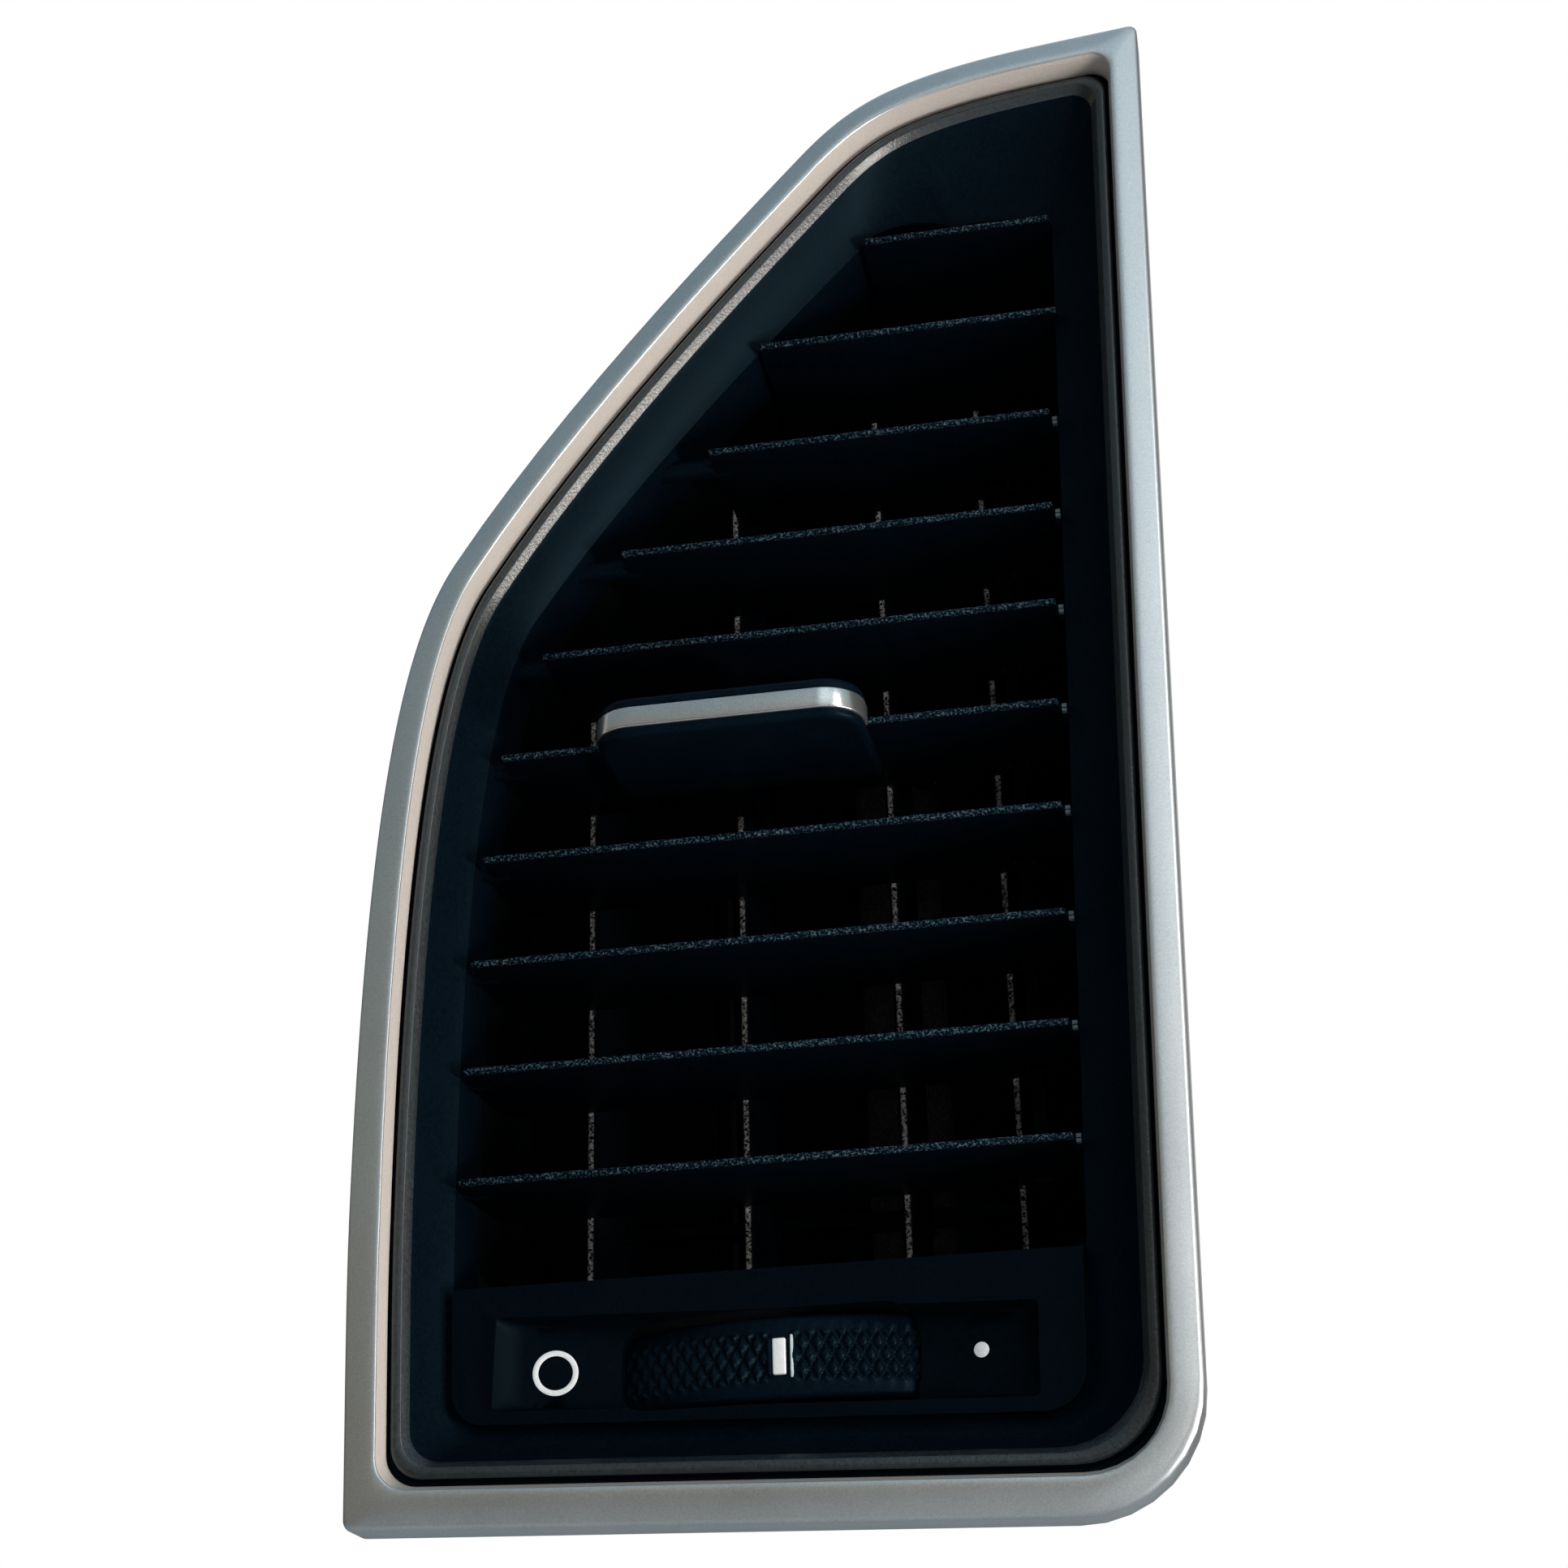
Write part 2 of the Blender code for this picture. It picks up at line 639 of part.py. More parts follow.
def make_trim_bezel():
    """Satin ring with a soft outer edge, a slightly hollow face and a lip that runs into the funnel."""
    edge = TRIM_CORNERS
    inner = TRIM_INNER_CORNERS
    between = tuple((a + b) / 2 for a, b in zip(edge, inner))
    lip = FRONT + TRIM_LIP
    back = FRONT + TRIM_THICKNESS
    rings = [
        ring(trim_outline(0.0, edge), FRONT + TRIM_CROWN + 0.0008),
        ring(trim_outline(0.0003, edge), FRONT + TRIM_CROWN + 0.0003),
        ring(trim_outline(0.0009, edge), FRONT + TRIM_CROWN * 0.85),
        ring(trim_outline(TRIM_FACE * 0.6, between), FRONT + TRIM_CROWN * 0.25),
        ring(trim_outline(TRIM_FACE - 0.0005, inner), FRONT),
        ring(trim_outline(TRIM_FACE - 0.0001, inner), FRONT + 0.0002),
        ring(trim_outline(TRIM_FACE + 0.0005, inner), lip - 0.0002),
        ring(trim_outline(TRIM_FACE + 0.0007, inner), lip),
        ring(trim_outline(TRIM_FACE - 0.0001, inner), lip),
        ring(trim_outline(TRIM_FACE - 0.0003, inner), back),
        ring(trim_outline(0.0003, edge), back),
        ring(trim_outline(0.0, edge), back - 0.0003),
    ]
    return finish(object_from("trim_bezel", loft(rings)), SATIN_SILVER, 0.32, 1.0)


def make_front_shroud():
    """Funnel with a rolled rim, the seating flange, a straight throat and a rear joint flange."""
    inner = TRIM_INNER_CORNERS
    step_y = FRONT + TRIM_LIP + GAP
    rim = RIM_INSET
    throat_ring = ring(THROAT, THROAT_Y)
    rim_end = ring(trim_outline(rim + RIM_WIDTH, inner), FLANGE_FRONT + 0.0004)
    outer_throat = throat_outline(WALL)
    joint = throat_outline(WALL + JOINT_FLANGE)
    joint_front = SHROUD_REAR - JOINT_FLANGE_THICKNESS
    rings = [
        ring(trim_outline(0.0009, TRIM_CORNERS), FLANGE_FRONT),
        ring(trim_outline(TRIM_FACE - 0.0006, inner), FLANGE_FRONT),
        ring(trim_outline(TRIM_FACE - 0.0005, inner), step_y),
        ring(trim_outline(rim - 0.0002, inner), step_y),
        ring(trim_outline(rim, inner), FLANGE_FRONT),
        ring(trim_outline(rim + 0.0004, inner), FLANGE_FRONT - 0.0004),
        ring(trim_outline(rim + 0.0011, inner), FLANGE_FRONT - 0.0003),
        rim_end,
        blend(rim_end, throat_ring, 0.42, FLANGE_FRONT + 0.0020),
        throat_ring,
        ring(THROAT, SHROUD_REAR),
        ring(joint, SHROUD_REAR),
        ring(joint, joint_front),
        ring(outer_throat, joint_front),
        ring(outer_throat, THROAT_Y + 0.0004),
        ring(trim_outline(rim + 0.0005, inner), SEAT_Y),
        ring(trim_outline(0.0009, TRIM_CORNERS), SEAT_Y),
    ]
    shroud = object_from("front_shroud", loft(rings))
    for number, z in enumerate(FIXED_SLAT_Z):
        left, right = span_at(throat_outline(-GAP), z + SLAT_THICKNESS / 2)
        nose = PIVOT_Y - SLAT_NOSE_AHEAD
        blade = prism(slat_profile(nose, z, 0.0), "X", left, right)
        join(shroud, blade, f"fixed_slat_{number}")
        left_wall, right_wall = span_at(throat_outline(WALL * 0.6), z)
        root = box((left_wall, SHROUD_REAR - FIXED_SLAT_ROOT, z - SLAT_EDGE / 2),
                   (right_wall, SHROUD_REAR - JOINT_FLANGE_THICKNESS, z + SLAT_EDGE / 2))
        join(shroud, root, f"fixed_slat_root_{number}")
    for index in range(SLAT_COUNT):
        z = SLAT_TOP_Z - index * SLAT_PITCH
        hole = rod((-WIDTH, PIVOT_Y, z), (WIDTH, PIVOT_Y, z), SLAT_PIN_RADIUS + PIN_CLEARANCE)
        cut(shroud, hole, f"pin_hole_{index + 1}")
    for number, place in enumerate(screw_places()):
        hole = rod((place.x, joint_front - CUT_REACH, place.y), (place.x, SHROUD_REAR + 0.001, place.y),
                   SCREW_RADIUS + GAP)
        cut(shroud, hole, f"screw_hole_{number + 1}")
    return finish(shroud, BLACK_PLASTIC, 0.46)


def slat_profile(nose_y, nose_z, tilt, chord=SLAT_CHORD):
    """Section of a slat as (y, z) points: a round nose, a fuller middle and a thin tail."""
    stations = (
        (0.0, SLAT_EDGE * 0.5),
        (0.0005, SLAT_EDGE),
        (0.0060, SLAT_THICKNESS),
        (0.0120, SLAT_THICKNESS),
        (chord - 0.0004, SLAT_EDGE),
        (chord, SLAT_EDGE * 0.5),
    )
    turn = math.radians(tilt)
    upper = []
    lower = []
    for along, thickness in stations:
        for side, points in ((0.5, upper), (-0.5, lower)):
            rise = thickness * side
            points.append((nose_y + along * math.cos(turn) - rise * math.sin(turn),
                           nose_z + along * math.sin(turn) + rise * math.cos(turn)))
    return lower + upper[::-1]


def slat_reach(z):
    """Ends of a turning slat: it clears the leaning walls over its whole swing."""
    swing = (SLAT_CHORD - SLAT_NOSE_AHEAD) * math.sin(math.radians(SLAT_SWING + SLAT_DROOP))
    lefts = []
    rights = []
    for step in range(-4, 5):
        left, right = span_at(THROAT, z + swing * step / 4)
        lefts.append(left)
        rights.append(right)
    return max(lefts) + SLAT_END_GAP, min(rights) - SLAT_END_GAP


def make_slat(number):
    """Turning slat with its two pins, the notch and pin for the link bar and, on one, room for the fork."""
    z = SLAT_TOP_Z - (number - 1) * SLAT_PITCH
    left, right = slat_reach(z)
    droop = math.radians(SLAT_DROOP)
    nose_z = z - SLAT_DROP - SLAT_NOSE_AHEAD * math.sin(droop)
    nose_y = PIVOT_Y - SLAT_NOSE_AHEAD
    slat = object_from(f"slat_{number}", prism(slat_profile(nose_y, nose_z, SLAT_DROOP), "X", left, right))
    set_pivot(slat, (0.0, PIVOT_Y, z))
    wall_left, wall_right = span_at(THROAT, z)
    reach = WALL + GAP + STRIP_THICKNESS * 0.5
    lean = 1.4
    for name, start, end in (("left", wall_left - reach * lean, left + 0.002),
                             ("right", right - 0.002, wall_right + reach)):
        join(slat, rod((start, PIVOT_Y, z), (end, PIVOT_Y, z), SLAT_PIN_RADIUS, 12), f"pin_{name}")
    link_y = PIVOT_Y + LINK_ARM
    link_z = z - SLAT_DROP + LINK_ARM * math.sin(droop)
    notch = LINK_NOTCH_WIDTH / 2
    room = LINK_WIDTH / 2 + 0.0007
    cut(slat, box((LINK_X - notch, link_y - room, z - CUT_REACH),
                  (LINK_X + notch, link_y + 2 * CUT_REACH, z + CUT_REACH)),
        "link_notch")
    join(slat, rod((LINK_X - notch - 0.001, link_y, link_z), (LINK_X + notch + 0.001, link_y, link_z),
                   LINK_PIN_RADIUS, 10), "link_pin")
    if number == KNOB_SLAT:
        fork_x = SIDE_VANE_X[FORKED_VANE]
        half = FORK_PRONG + FORK_GAP / 2 + 0.0024 + KNOB_TRAVEL + 0.0005
        front = PIVOT_Y + KNOB_DEPTH - SLAT_NOSE_AHEAD - KNOB_AHEAD - 0.0005
        cut(slat, box((fork_x - half, front, z - CUT_REACH),
                      (fork_x + half, front + 5 * CUT_REACH, z + CUT_REACH)),
            "fork_room")
    return finish(slat, BLACK_PLASTIC, 0.40)


def make_slat_link():
    """Upright bar with a hole for each slat's link pin."""
    y = PIVOT_Y + LINK_ARM
    shift = LINK_ARM * math.sin(math.radians(SLAT_DROOP)) - SLAT_DROP
    top = SLAT_TOP_Z + shift
    bottom = top - (SLAT_COUNT - 1) * SLAT_PITCH
    outline_points = capsule((y, bottom), (y, top), LINK_WIDTH / 2, 6)
    half = LINK_THICKNESS / 2
    bar = object_from("slat_link", prism(outline_points, "X", LINK_X - half, LINK_X + half))
    set_pivot(bar, (0.0, y, KNOB_Z + shift))
    for index in range(SLAT_COUNT):
        z = top - index * SLAT_PITCH
        cut(bar, rod((LINK_X - CUT_REACH, y, z), (LINK_X + CUT_REACH, y, z),
                     LINK_PIN_RADIUS + PIN_CLEARANCE, 12),
            f"hole_{index + 1}")
    return finish(bar, DARK_PLASTIC, 0.5)


def strip_band(side, low, high, y0, y1, inset, thickness):
    """Strip along the outside of the throat between two heights."""
    inner = throat_outline(inset)
    outer = throat_outline(inset + thickness)
    pairs = [(a, b) for a, b in zip(inner, outer)]
    if side == "right":
        a_low = span_at(inner, low)[1]
        a_high = span_at(inner, high)[1]
        points = [(a_low, low), (a_low + thickness, low), (a_high + thickness, high), (a_high, high)]
        return prism(points, "Y", y0, y1)
    kept = [(a, b) for a, b in pairs if low < a.y < high and a.x < 0]
    points = [a for a, b in kept] + [b for a, b in kept[::-1]]
    return prism([(p.x, p.y) for p in points], "Y", y0, y1)


def make_bearing_strip(side):
    """Strip outside the shroud's wall whose holes hold the slats' pins."""
    low = SLAT_TOP_Z - (SLAT_COUNT - 1) * SLAT_PITCH - 0.006
    high = SLAT_TOP_Z + 0.006
    y0 = PIVOT_Y - STRIP_DEPTH / 2 + 0.0005
    band = strip_band(side, low, high, y0, y0 + STRIP_DEPTH, WALL + GAP, STRIP_THICKNESS)
    strip = object_from(f"bearing_strip_{side}", band)
    sign = 1.0 if side == "right" else -1.0
    for index in range(SLAT_COUNT):
        z = SLAT_TOP_Z - index * SLAT_PITCH
        cut(strip, rod((0.0, PIVOT_Y, z), (sign * WIDTH, PIVOT_Y, z), SLAT_PIN_RADIUS + PIN_CLEARANCE, 12),
            f"hole_{index + 1}")
    return finish(strip, DARK_PLASTIC, 0.6)


def knob_plan(inset, rear):
    """Plan of the knob as (x, y) points with round front corners."""
    half = KNOB_WIDTH / 2 - inset
    front = PIVOT_Y - SLAT_NOSE_AHEAD - KNOB_AHEAD + inset
    radius = KNOB_CORNER - inset
    left = arc((KNOB_X - half + radius, front + radius), radius, 180.0, 270.0, 6)
    right = arc((KNOB_X + half - radius, front + radius), radius, 270.0, 360.0, 6)
    return [(KNOB_X - half, rear)] + left + right + [(KNOB_X + half, rear)]


def make_knob():
    """Knob that wraps the slat's front, its silver strip and the fork behind it."""
    front = PIVOT_Y - SLAT_NOSE_AHEAD - KNOB_AHEAD
    rear = front + KNOB_DEPTH
    plan = knob_plan(0.0, rear)
    body = object_from("knob_body", prism(plan, "Z", KNOB_Z - KNOB_BELOW, KNOB_Z + KNOB_ABOVE))
    set_pivot(body, (KNOB_X, PIVOT_Y, KNOB_Z))
    soften = body.modifiers.new("soft_edges", "BEVEL")
    soften.width = 0.0006
    soften.segments = 2
    soften.limit_method = "ANGLE"
    soften.angle_limit = math.radians(40.0)
    droop = math.radians(SLAT_DROOP)
    room = SLAT_THICKNESS / 2 + GAP
    ahead = SLAT_NOSE_AHEAD + 0.0005
    nose = (PIVOT_Y - ahead, KNOB_Z - SLAT_DROP - ahead * math.sin(droop))
    tail = (rear + 0.002, KNOB_Z - SLAT_DROP + (rear + 0.002 - PIVOT_Y) * math.sin(droop))
    slot = [(nose[0], nose[1] - room), (tail[0], tail[1] - room), (tail[0], tail[1] + room),
            (nose[0], nose[1] + room)]
    cut(body, prism(slot, "X", KNOB_X - KNOB_WIDTH, KNOB_X + KNOB_WIDTH), "blade_slot")
    strip_z = KNOB_Z - STRIP_DROP
    strip_rear = front + KNOB_AHEAD - 2 * GAP
    band_outer = knob_plan(-0.0010, strip_rear + GAP)
    band_inner = knob_plan(STRIP_WALL + GAP, strip_rear + GAP)
    half = STRIP_HEIGHT / 2
    cut(body, prism(band_outer + band_inner[::-1], "Z", strip_z - half - GAP, strip_z + half + GAP),
        "strip_recess")
    finish(body, BLACK_PLASTIC, 0.38)
    strip_outline = knob_plan(-0.0002, strip_rear) + knob_plan(STRIP_WALL, strip_rear)[::-1]
    strip = object_from("knob_trim", prism(strip_outline, "Z", strip_z - half, strip_z + half))
    set_pivot(strip, (KNOB_X, PIVOT_Y, KNOB_Z))
    finish(strip, SATIN_SILVER, 0.25, 1.0)
    fork_x = SIDE_VANE_X[FORKED_VANE]
    gap = FORK_GAP / 2
    wide = gap + FORK_PRONG
    root = rear + GAP
    tip = root + FORK_REACH - GAP
    slot_end = SIDE_VANE_Y - FORK_BAR_ARM - FORK_BAR_RADIUS - 0.0005
    plan = [
        (fork_x - wide - 0.0022, root),
        (fork_x + wide + 0.0022, root),
        (fork_x + wide + 0.0022, root + 0.0018),
        (fork_x + wide, root + 0.0036),
        (fork_x + wide, tip),
        (fork_x + gap, tip),
        (fork_x + gap, slot_end),
        (fork_x - gap, slot_end),
        (fork_x - gap, tip),
        (fork_x - wide, tip),
        (fork_x - wide, root + 0.0036),
        (fork_x - wide - 0.0022, root + 0.0018),
    ]
    thick = FORK_THICKNESS / 2
    fork = object_from("knob_fork", prism(plan, "Z", KNOB_Z - thick, KNOB_Z + thick))
    set_pivot(fork, (KNOB_X, PIVOT_Y, KNOB_Z))
    plate = box((fork_x - wide - 0.0022, root, KNOB_Z - KNOB_BELOW + 0.0004),
                (fork_x + wide + 0.0022, root + 0.0014, KNOB_Z + KNOB_ABOVE - 0.0004))
    join(fork, plate, "plate")
    finish(fork, DARK_PLASTIC, 0.5)
    return body, strip, fork


def make_side_vane(number):
    """Upright vane with its pins, the notch and pin for its link bar and, on one, the fork's bar."""
    x = SIDE_VANE_X[number]
    nose = SIDE_VANE_Y - SIDE_VANE_AHEAD
    tail = nose + SIDE_VANE_CHORD
    duct = duct_outline(0.0)
    sweep = SIDE_VANE_AHEAD * math.sin(KNOB_TRAVEL / FORK_BAR_ARM)
    ceiling = min(top_at(duct, x - sweep - 0.0008), top_at(duct, x + sweep + 0.0008))
    top = ceiling - 0.0012
    bottom = FLOOR_Z + 0.0008
    half = SIDE_VANE_THICKNESS / 2
    plan = [
        (x - half * 0.4, nose), (x + half * 0.4, nose), (x + half, nose + 0.0008), (x + half, tail - 0.003),
        (x + half * 0.5, tail), (x - half * 0.5, tail), (x - half, tail - 0.003), (x - half, nose + 0.0008),
    ]
    vane = object_from(f"side_vane_{number + 1}", prism(plan, "Z", bottom, top))
    set_pivot(vane, (x, SIDE_VANE_Y, 0.0))
    wall_top = top_at(duct_outline(WALL), x)
    join(vane, rod((x, SIDE_VANE_Y, top - 0.003), (x, SIDE_VANE_Y, wall_top - 0.0002), SIDE_PIN_RADIUS, 12),
         "top_pin")
    join(vane, rod((x, SIDE_VANE_Y, bottom + 0.003), (x, SIDE_VANE_Y, FLOOR_Z - WALL + 0.0002),
                   SIDE_PIN_RADIUS, 12), "bottom_pin")
    link_y = SIDE_VANE_Y + SIDE_LINK_ARM
    notch = LINK_NOTCH_WIDTH / 2
    room = LINK_WIDTH / 2 + 0.0009
    cut(vane, box((x - CUT_REACH, link_y - room, SIDE_LINK_Z - notch),
                  (x + CUT_REACH, link_y + 2 * CUT_REACH, SIDE_LINK_Z + notch)),
        "link_notch")
    join(vane, rod((x, link_y, SIDE_LINK_Z - notch - 0.001), (x, link_y, SIDE_LINK_Z + notch + 0.001),
                   LINK_PIN_RADIUS, 10), "link_pin")
    if number == FORKED_VANE:
        rear = SIDE_VANE_Y - 0.0030
        tall = FORK_WINDOW_HALF
        cut(vane, box((x - CUT_REACH, nose - CUT_REACH, KNOB_Z - tall), (x + CUT_REACH, rear, KNOB_Z + tall)),
            "fork_window")
        bar_y = SIDE_VANE_Y - FORK_BAR_ARM
        join(vane, rod((x, bar_y, KNOB_Z - tall - 0.001), (x, bar_y, KNOB_Z + tall + 0.001),
                       FORK_BAR_RADIUS, 12),
             "fork_bar")
    return finish(vane, BLACK_PLASTIC, 0.42)


def make_side_link():
    """Flat bar with a hole for each upright vane's link pin."""
    y = SIDE_VANE_Y + SIDE_LINK_ARM
    half = LINK_THICKNESS / 2
    plan = capsule((SIDE_VANE_X[0], y), (SIDE_VANE_X[-1], y), LINK_WIDTH / 2, 6)
    bar = object_from("side_link", prism(plan, "Z", SIDE_LINK_Z - half, SIDE_LINK_Z + half))
    set_pivot(bar, (SIDE_VANE_X[FORKED_VANE], y, SIDE_LINK_Z))
    for number, x in enumerate(SIDE_VANE_X):
        cut(bar, rod((x, y, SIDE_LINK_Z - CUT_REACH), (x, y, SIDE_LINK_Z + CUT_REACH),
                     LINK_PIN_RADIUS + PIN_CLEARANCE, 12),
            f"hole_{number + 1}")
    return finish(bar, DARK_PLASTIC, 0.5)


def collar_outline(outset):
    """Outline of the rear collar with the same count of points as the face outline."""
    left = COLLAR_X - COLLAR_WIDTH / 2 - outset
    right = COLLAR_X + COLLAR_WIDTH / 2 + outset
    top = COLLAR_TOP + outset
    bottom = COLLAR_BOTTOM - outset
    radius = COLLAR_CORNER + outset * 0.5

    def corner(x, z, start):
        return [Vector(p) for p in arc((x, z), radius, start, start + 90.0, CORNER_STEPS)]

    corner_a = corner(right - radius, top - radius, 0.0)
    corner_c = corner(left + radius, bottom + radius, 180.0)
    corner_b = corner(right - radius, bottom + radius, 270.0)
    turn = corner(left + radius, top - radius, 90.0)
    across = KNOT_STEPS[0] + KNOT_STEPS[1] - 1
    down = len(FACE_POINTS) - 2 - across - len(turn)
    points = corner_a
    points += [corner_a[-1].lerp(turn[0], step / (across + 1)) for step in range(1, across + 1)]
    points += turn
    points += [turn[-1].lerp(corner_c[0], step / (down + 1)) for step in range(1, down + 1)]
    points += corner_c
    points += [corner_c[-1].lerp(corner_b[0], step / EDGE_STEPS) for step in range(1, EDGE_STEPS)]
    points += corner_b
    points += [corner_b[-1].lerp(corner_a[0], step / EDGE_STEPS) for step in range(1, EDGE_STEPS)]
    return points


def make_duct_housing():
    """Duct that narrows from the vane opening to the rear collar, with clip ribs and a joint flange."""
    flange_rear = DUCT_FRONT + JOINT_FLANGE_THICKNESS
    rings = [
        ring(duct_outline(0.0), DUCT_FRONT),
        ring(duct_outline(0.0), DUCT_STRAIGHT_REAR),
        ring(collar_outline(0.0), COLLAR_FRONT),
        ring(collar_outline(0.0), REAR),
        ring(collar_outline(WALL), REAR),
        ring(collar_outline(WALL), COLLAR_FRONT + 0.0006),
        ring(duct_outline(WALL), DUCT_STRAIGHT_REAR + 0.0006),
        ring(duct_outline(WALL), DUCT_FRONT),
    ]
    duct = object_from("duct_housing", loft(rings))
    inside = duct_outline(WALL * 0.5)
    around = throat_outline(WALL + JOINT_FLANGE, FLOOR_Z - WALL * 0.9)
    flange = [ring(inside, DUCT_FRONT), ring(inside, flange_rear),
              ring(around, flange_rear), ring(around, DUCT_FRONT)]
    join(duct, loft(flange), "joint_flange")
    rib = CLIP_RIB_THICKNESS / 2
    for number, (side, z) in enumerate(clip_places()):
        left, right = span_at(duct_outline(WALL * 0.5), z)
        edge_left, edge_right = span_at(duct_outline(WALL), z)
        y0 = CLIP_Y - CLIP_RIB_LENGTH / 2
        if side > 0:
            block = box((right, y0, z - rib), (edge_right + CLIP_RIB_HEIGHT, y0 + CLIP_RIB_LENGTH, z + rib))
        else:
            block = box((edge_left - CLIP_RIB_HEIGHT, y0, z - rib), (left, y0 + CLIP_RIB_LENGTH, z + rib))
        join(duct, block, f"clip_rib_{number + 1}")
    for number, x in enumerate(SIDE_VANE_X):
        hole = rod((x, SIDE_VANE_Y, FLOOR_Z - CUT_REACH), (x, SIDE_VANE_Y, HEIGHT / 2),
                   SIDE_PIN_RADIUS + PIN_CLEARANCE)
        cut(duct, hole, f"vane_hole_{number + 1}")
    shut = math.radians(FLAP_SHUT_ANGLE)
    stop_x = COLLAR_WIDTH / 2 - FLAP_STOP_HEIGHT
    face = (FLAP_THICKNESS / 2 + GAP + FLAP_FOAM) / math.sin(shut)
    stop_y = stop_x / math.tan(shut) - face - GAP
    for number, side in enumerate((-1.0, 1.0)):
        xs = sorted((COLLAR_X + side * stop_x, COLLAR_X + side * (COLLAR_WIDTH / 2 + WALL / 2)))
        ys = sorted((FLAP_Y + side * stop_y, FLAP_Y + side * (stop_y - FLAP_STOP_THICKNESS)))
        stop = box((xs[0], ys[0], COLLAR_BOTTOM - WALL / 2), (xs[1], ys[1], COLLAR_TOP + WALL / 2))
        join(duct, stop, f"flap_stop_{number + 1}")
    hole = rod((COLLAR_X, FLAP_Y, COLLAR_BOTTOM - CUT_REACH), (COLLAR_X, FLAP_Y, COLLAR_TOP + CUT_REACH),
               FLAP_AXLE_RADIUS + PIN_CLEARANCE, 20)
    cut(duct, hole, "flap_axle_hole")
    for number, place in enumerate(screw_places()):
        hole = rod((place.x, DUCT_FRONT - 0.001, place.y), (place.x, flange_rear + 0.001, place.y),
                   SCREW_RADIUS + GAP)
        cut(duct, hole, f"screw_hole_{number + 1}")
    return finish(duct, DARK_PLASTIC, 0.55)


def clip_places():
    """Side and height of each spring clip."""
    return [(side, FLOOR_Z + rise) for side, rise in CLIPS_ABOVE_FLOOR]


def screw_places():
    """Places of the four housing screws on the joint flange, as (x, z)."""
    middle = throat_outline(WALL + JOINT_FLANGE / 2)
    right_top = (SLAT_TOP_Z + FIXED_SLAT_Z[1]) / 2
    right_low = SLAT_LOW_Z + SLAT_PITCH * 0.2
    left_top = KNOB_Z + SLAT_PITCH * 0.6
    left_low = SLAT_LOW_Z - SLAT_PITCH * 0.4
    return [
        Vector((span_at(middle, right_top)[1], right_top)),
        Vector((span_at(middle, right_low)[1], right_low)),
        Vector((span_at(middle, left_top)[0], left_top)),
        Vector((span_at(middle, left_low)[0], left_low)),
    ]


def make_screws():
    """Four pan-head screws, each a turned profile, driven from behind."""
    head_y = DUCT_FRONT + JOINT_FLANGE_THICKNESS + GAP
    for number, place in enumerate(screw_places()):
        profile = ((0.0, SCREW_HEAD), (SCREW_HEAD_RADIUS * 0.7, SCREW_HEAD),
                   (SCREW_HEAD_RADIUS, SCREW_HEAD * 0.5),
                   (SCREW_HEAD_RADIUS, 0.0), (SCREW_RADIUS, 0.0), (SCREW_RADIUS, -SCREW_LENGTH + 0.001),
                   (0.0, -SCREW_LENGTH))
        bm = bmesh.new()
        verts = [bm.verts.new((radius, 0.0, height)) for radius, height in profile]
        for first, second in zip(verts, verts[1:]):
            bm.edges.new((first, second))
        mesh = bpy.data.meshes.new(f"housing_screw_{number + 1}")
        bm.to_mesh(mesh)
        bm.free()
        screw = bpy.data.objects.new(f"housing_screw_{number + 1}", mesh)
        PARTS.objects.link(screw)
        screw.location = (place.x, head_y, place.y)
        screw.rotation_euler = (math.radians(-90.0), 0.0, 0.0)
        turned = screw.modifiers.new("turned", "SCREW")
        turned.axis = "Z"
        turned.steps = 12
        turned.render_steps = 12
        turned.use_merge_vertices = True
        turned.merge_threshold = 0.00001
        finish(screw, SPRING_STEEL, 0.35, 1.0)


def make_clips():
    """Bent steel clips that straddle the ribs on the duct."""
    for number, (side, z) in enumerate(clip_places()):
        left, right = span_at(duct_outline(WALL), z)
        edge = (right + CLIP_RIB_HEIGHT) if side > 0 else (left - CLIP_RIB_HEIGHT)
        leg = CLIP_RIB_HEIGHT - 0.0008
        inner = CLIP_RIB_THICKNESS / 2 + GAP
        outer = inner + CLIP_STEEL
        flare = 0.0012
        path_outer = [(0.0 - leg, outer + flare), (-leg * 0.45, outer), (GAP, outer), (GAP + CLIP_STEEL, inner),
                      (GAP + CLIP_STEEL, -inner), (GAP, -outer), (-leg * 0.45, -outer), (-leg, -outer - flare)]
        path_inner = [(-leg, inner + flare), (-leg * 0.45, inner), (GAP, inner), (GAP, -inner),
                      (-leg * 0.45, -inner), (-leg, -inner - flare)]
        points = [(edge + side * p[0], z + p[1]) for p in path_outer + path_inner[::-1]]
        clip = object_from(f"spring_clip_{number + 1}",
                           prism(points, "Y", CLIP_Y - CLIP_WIDTH / 2, CLIP_Y + CLIP_WIDTH / 2))
        finish(clip, SPRING_STEEL, 0.3, 1.0)


def make_rear_seal():
    """Foam gasket round the end of the collar."""
    inner = collar_outline(WALL + GAP)
    outer = collar_outline(WALL + GAP + SEAL_THICKNESS)
    rings = [ring(inner, REAR - SEAL_LENGTH), ring(inner, REAR),
             ring(outer, REAR), ring(outer, REAR - SEAL_LENGTH)]
    return finish(object_from("rear_seal", loft(rings)), GREY_FOAM, 0.95)


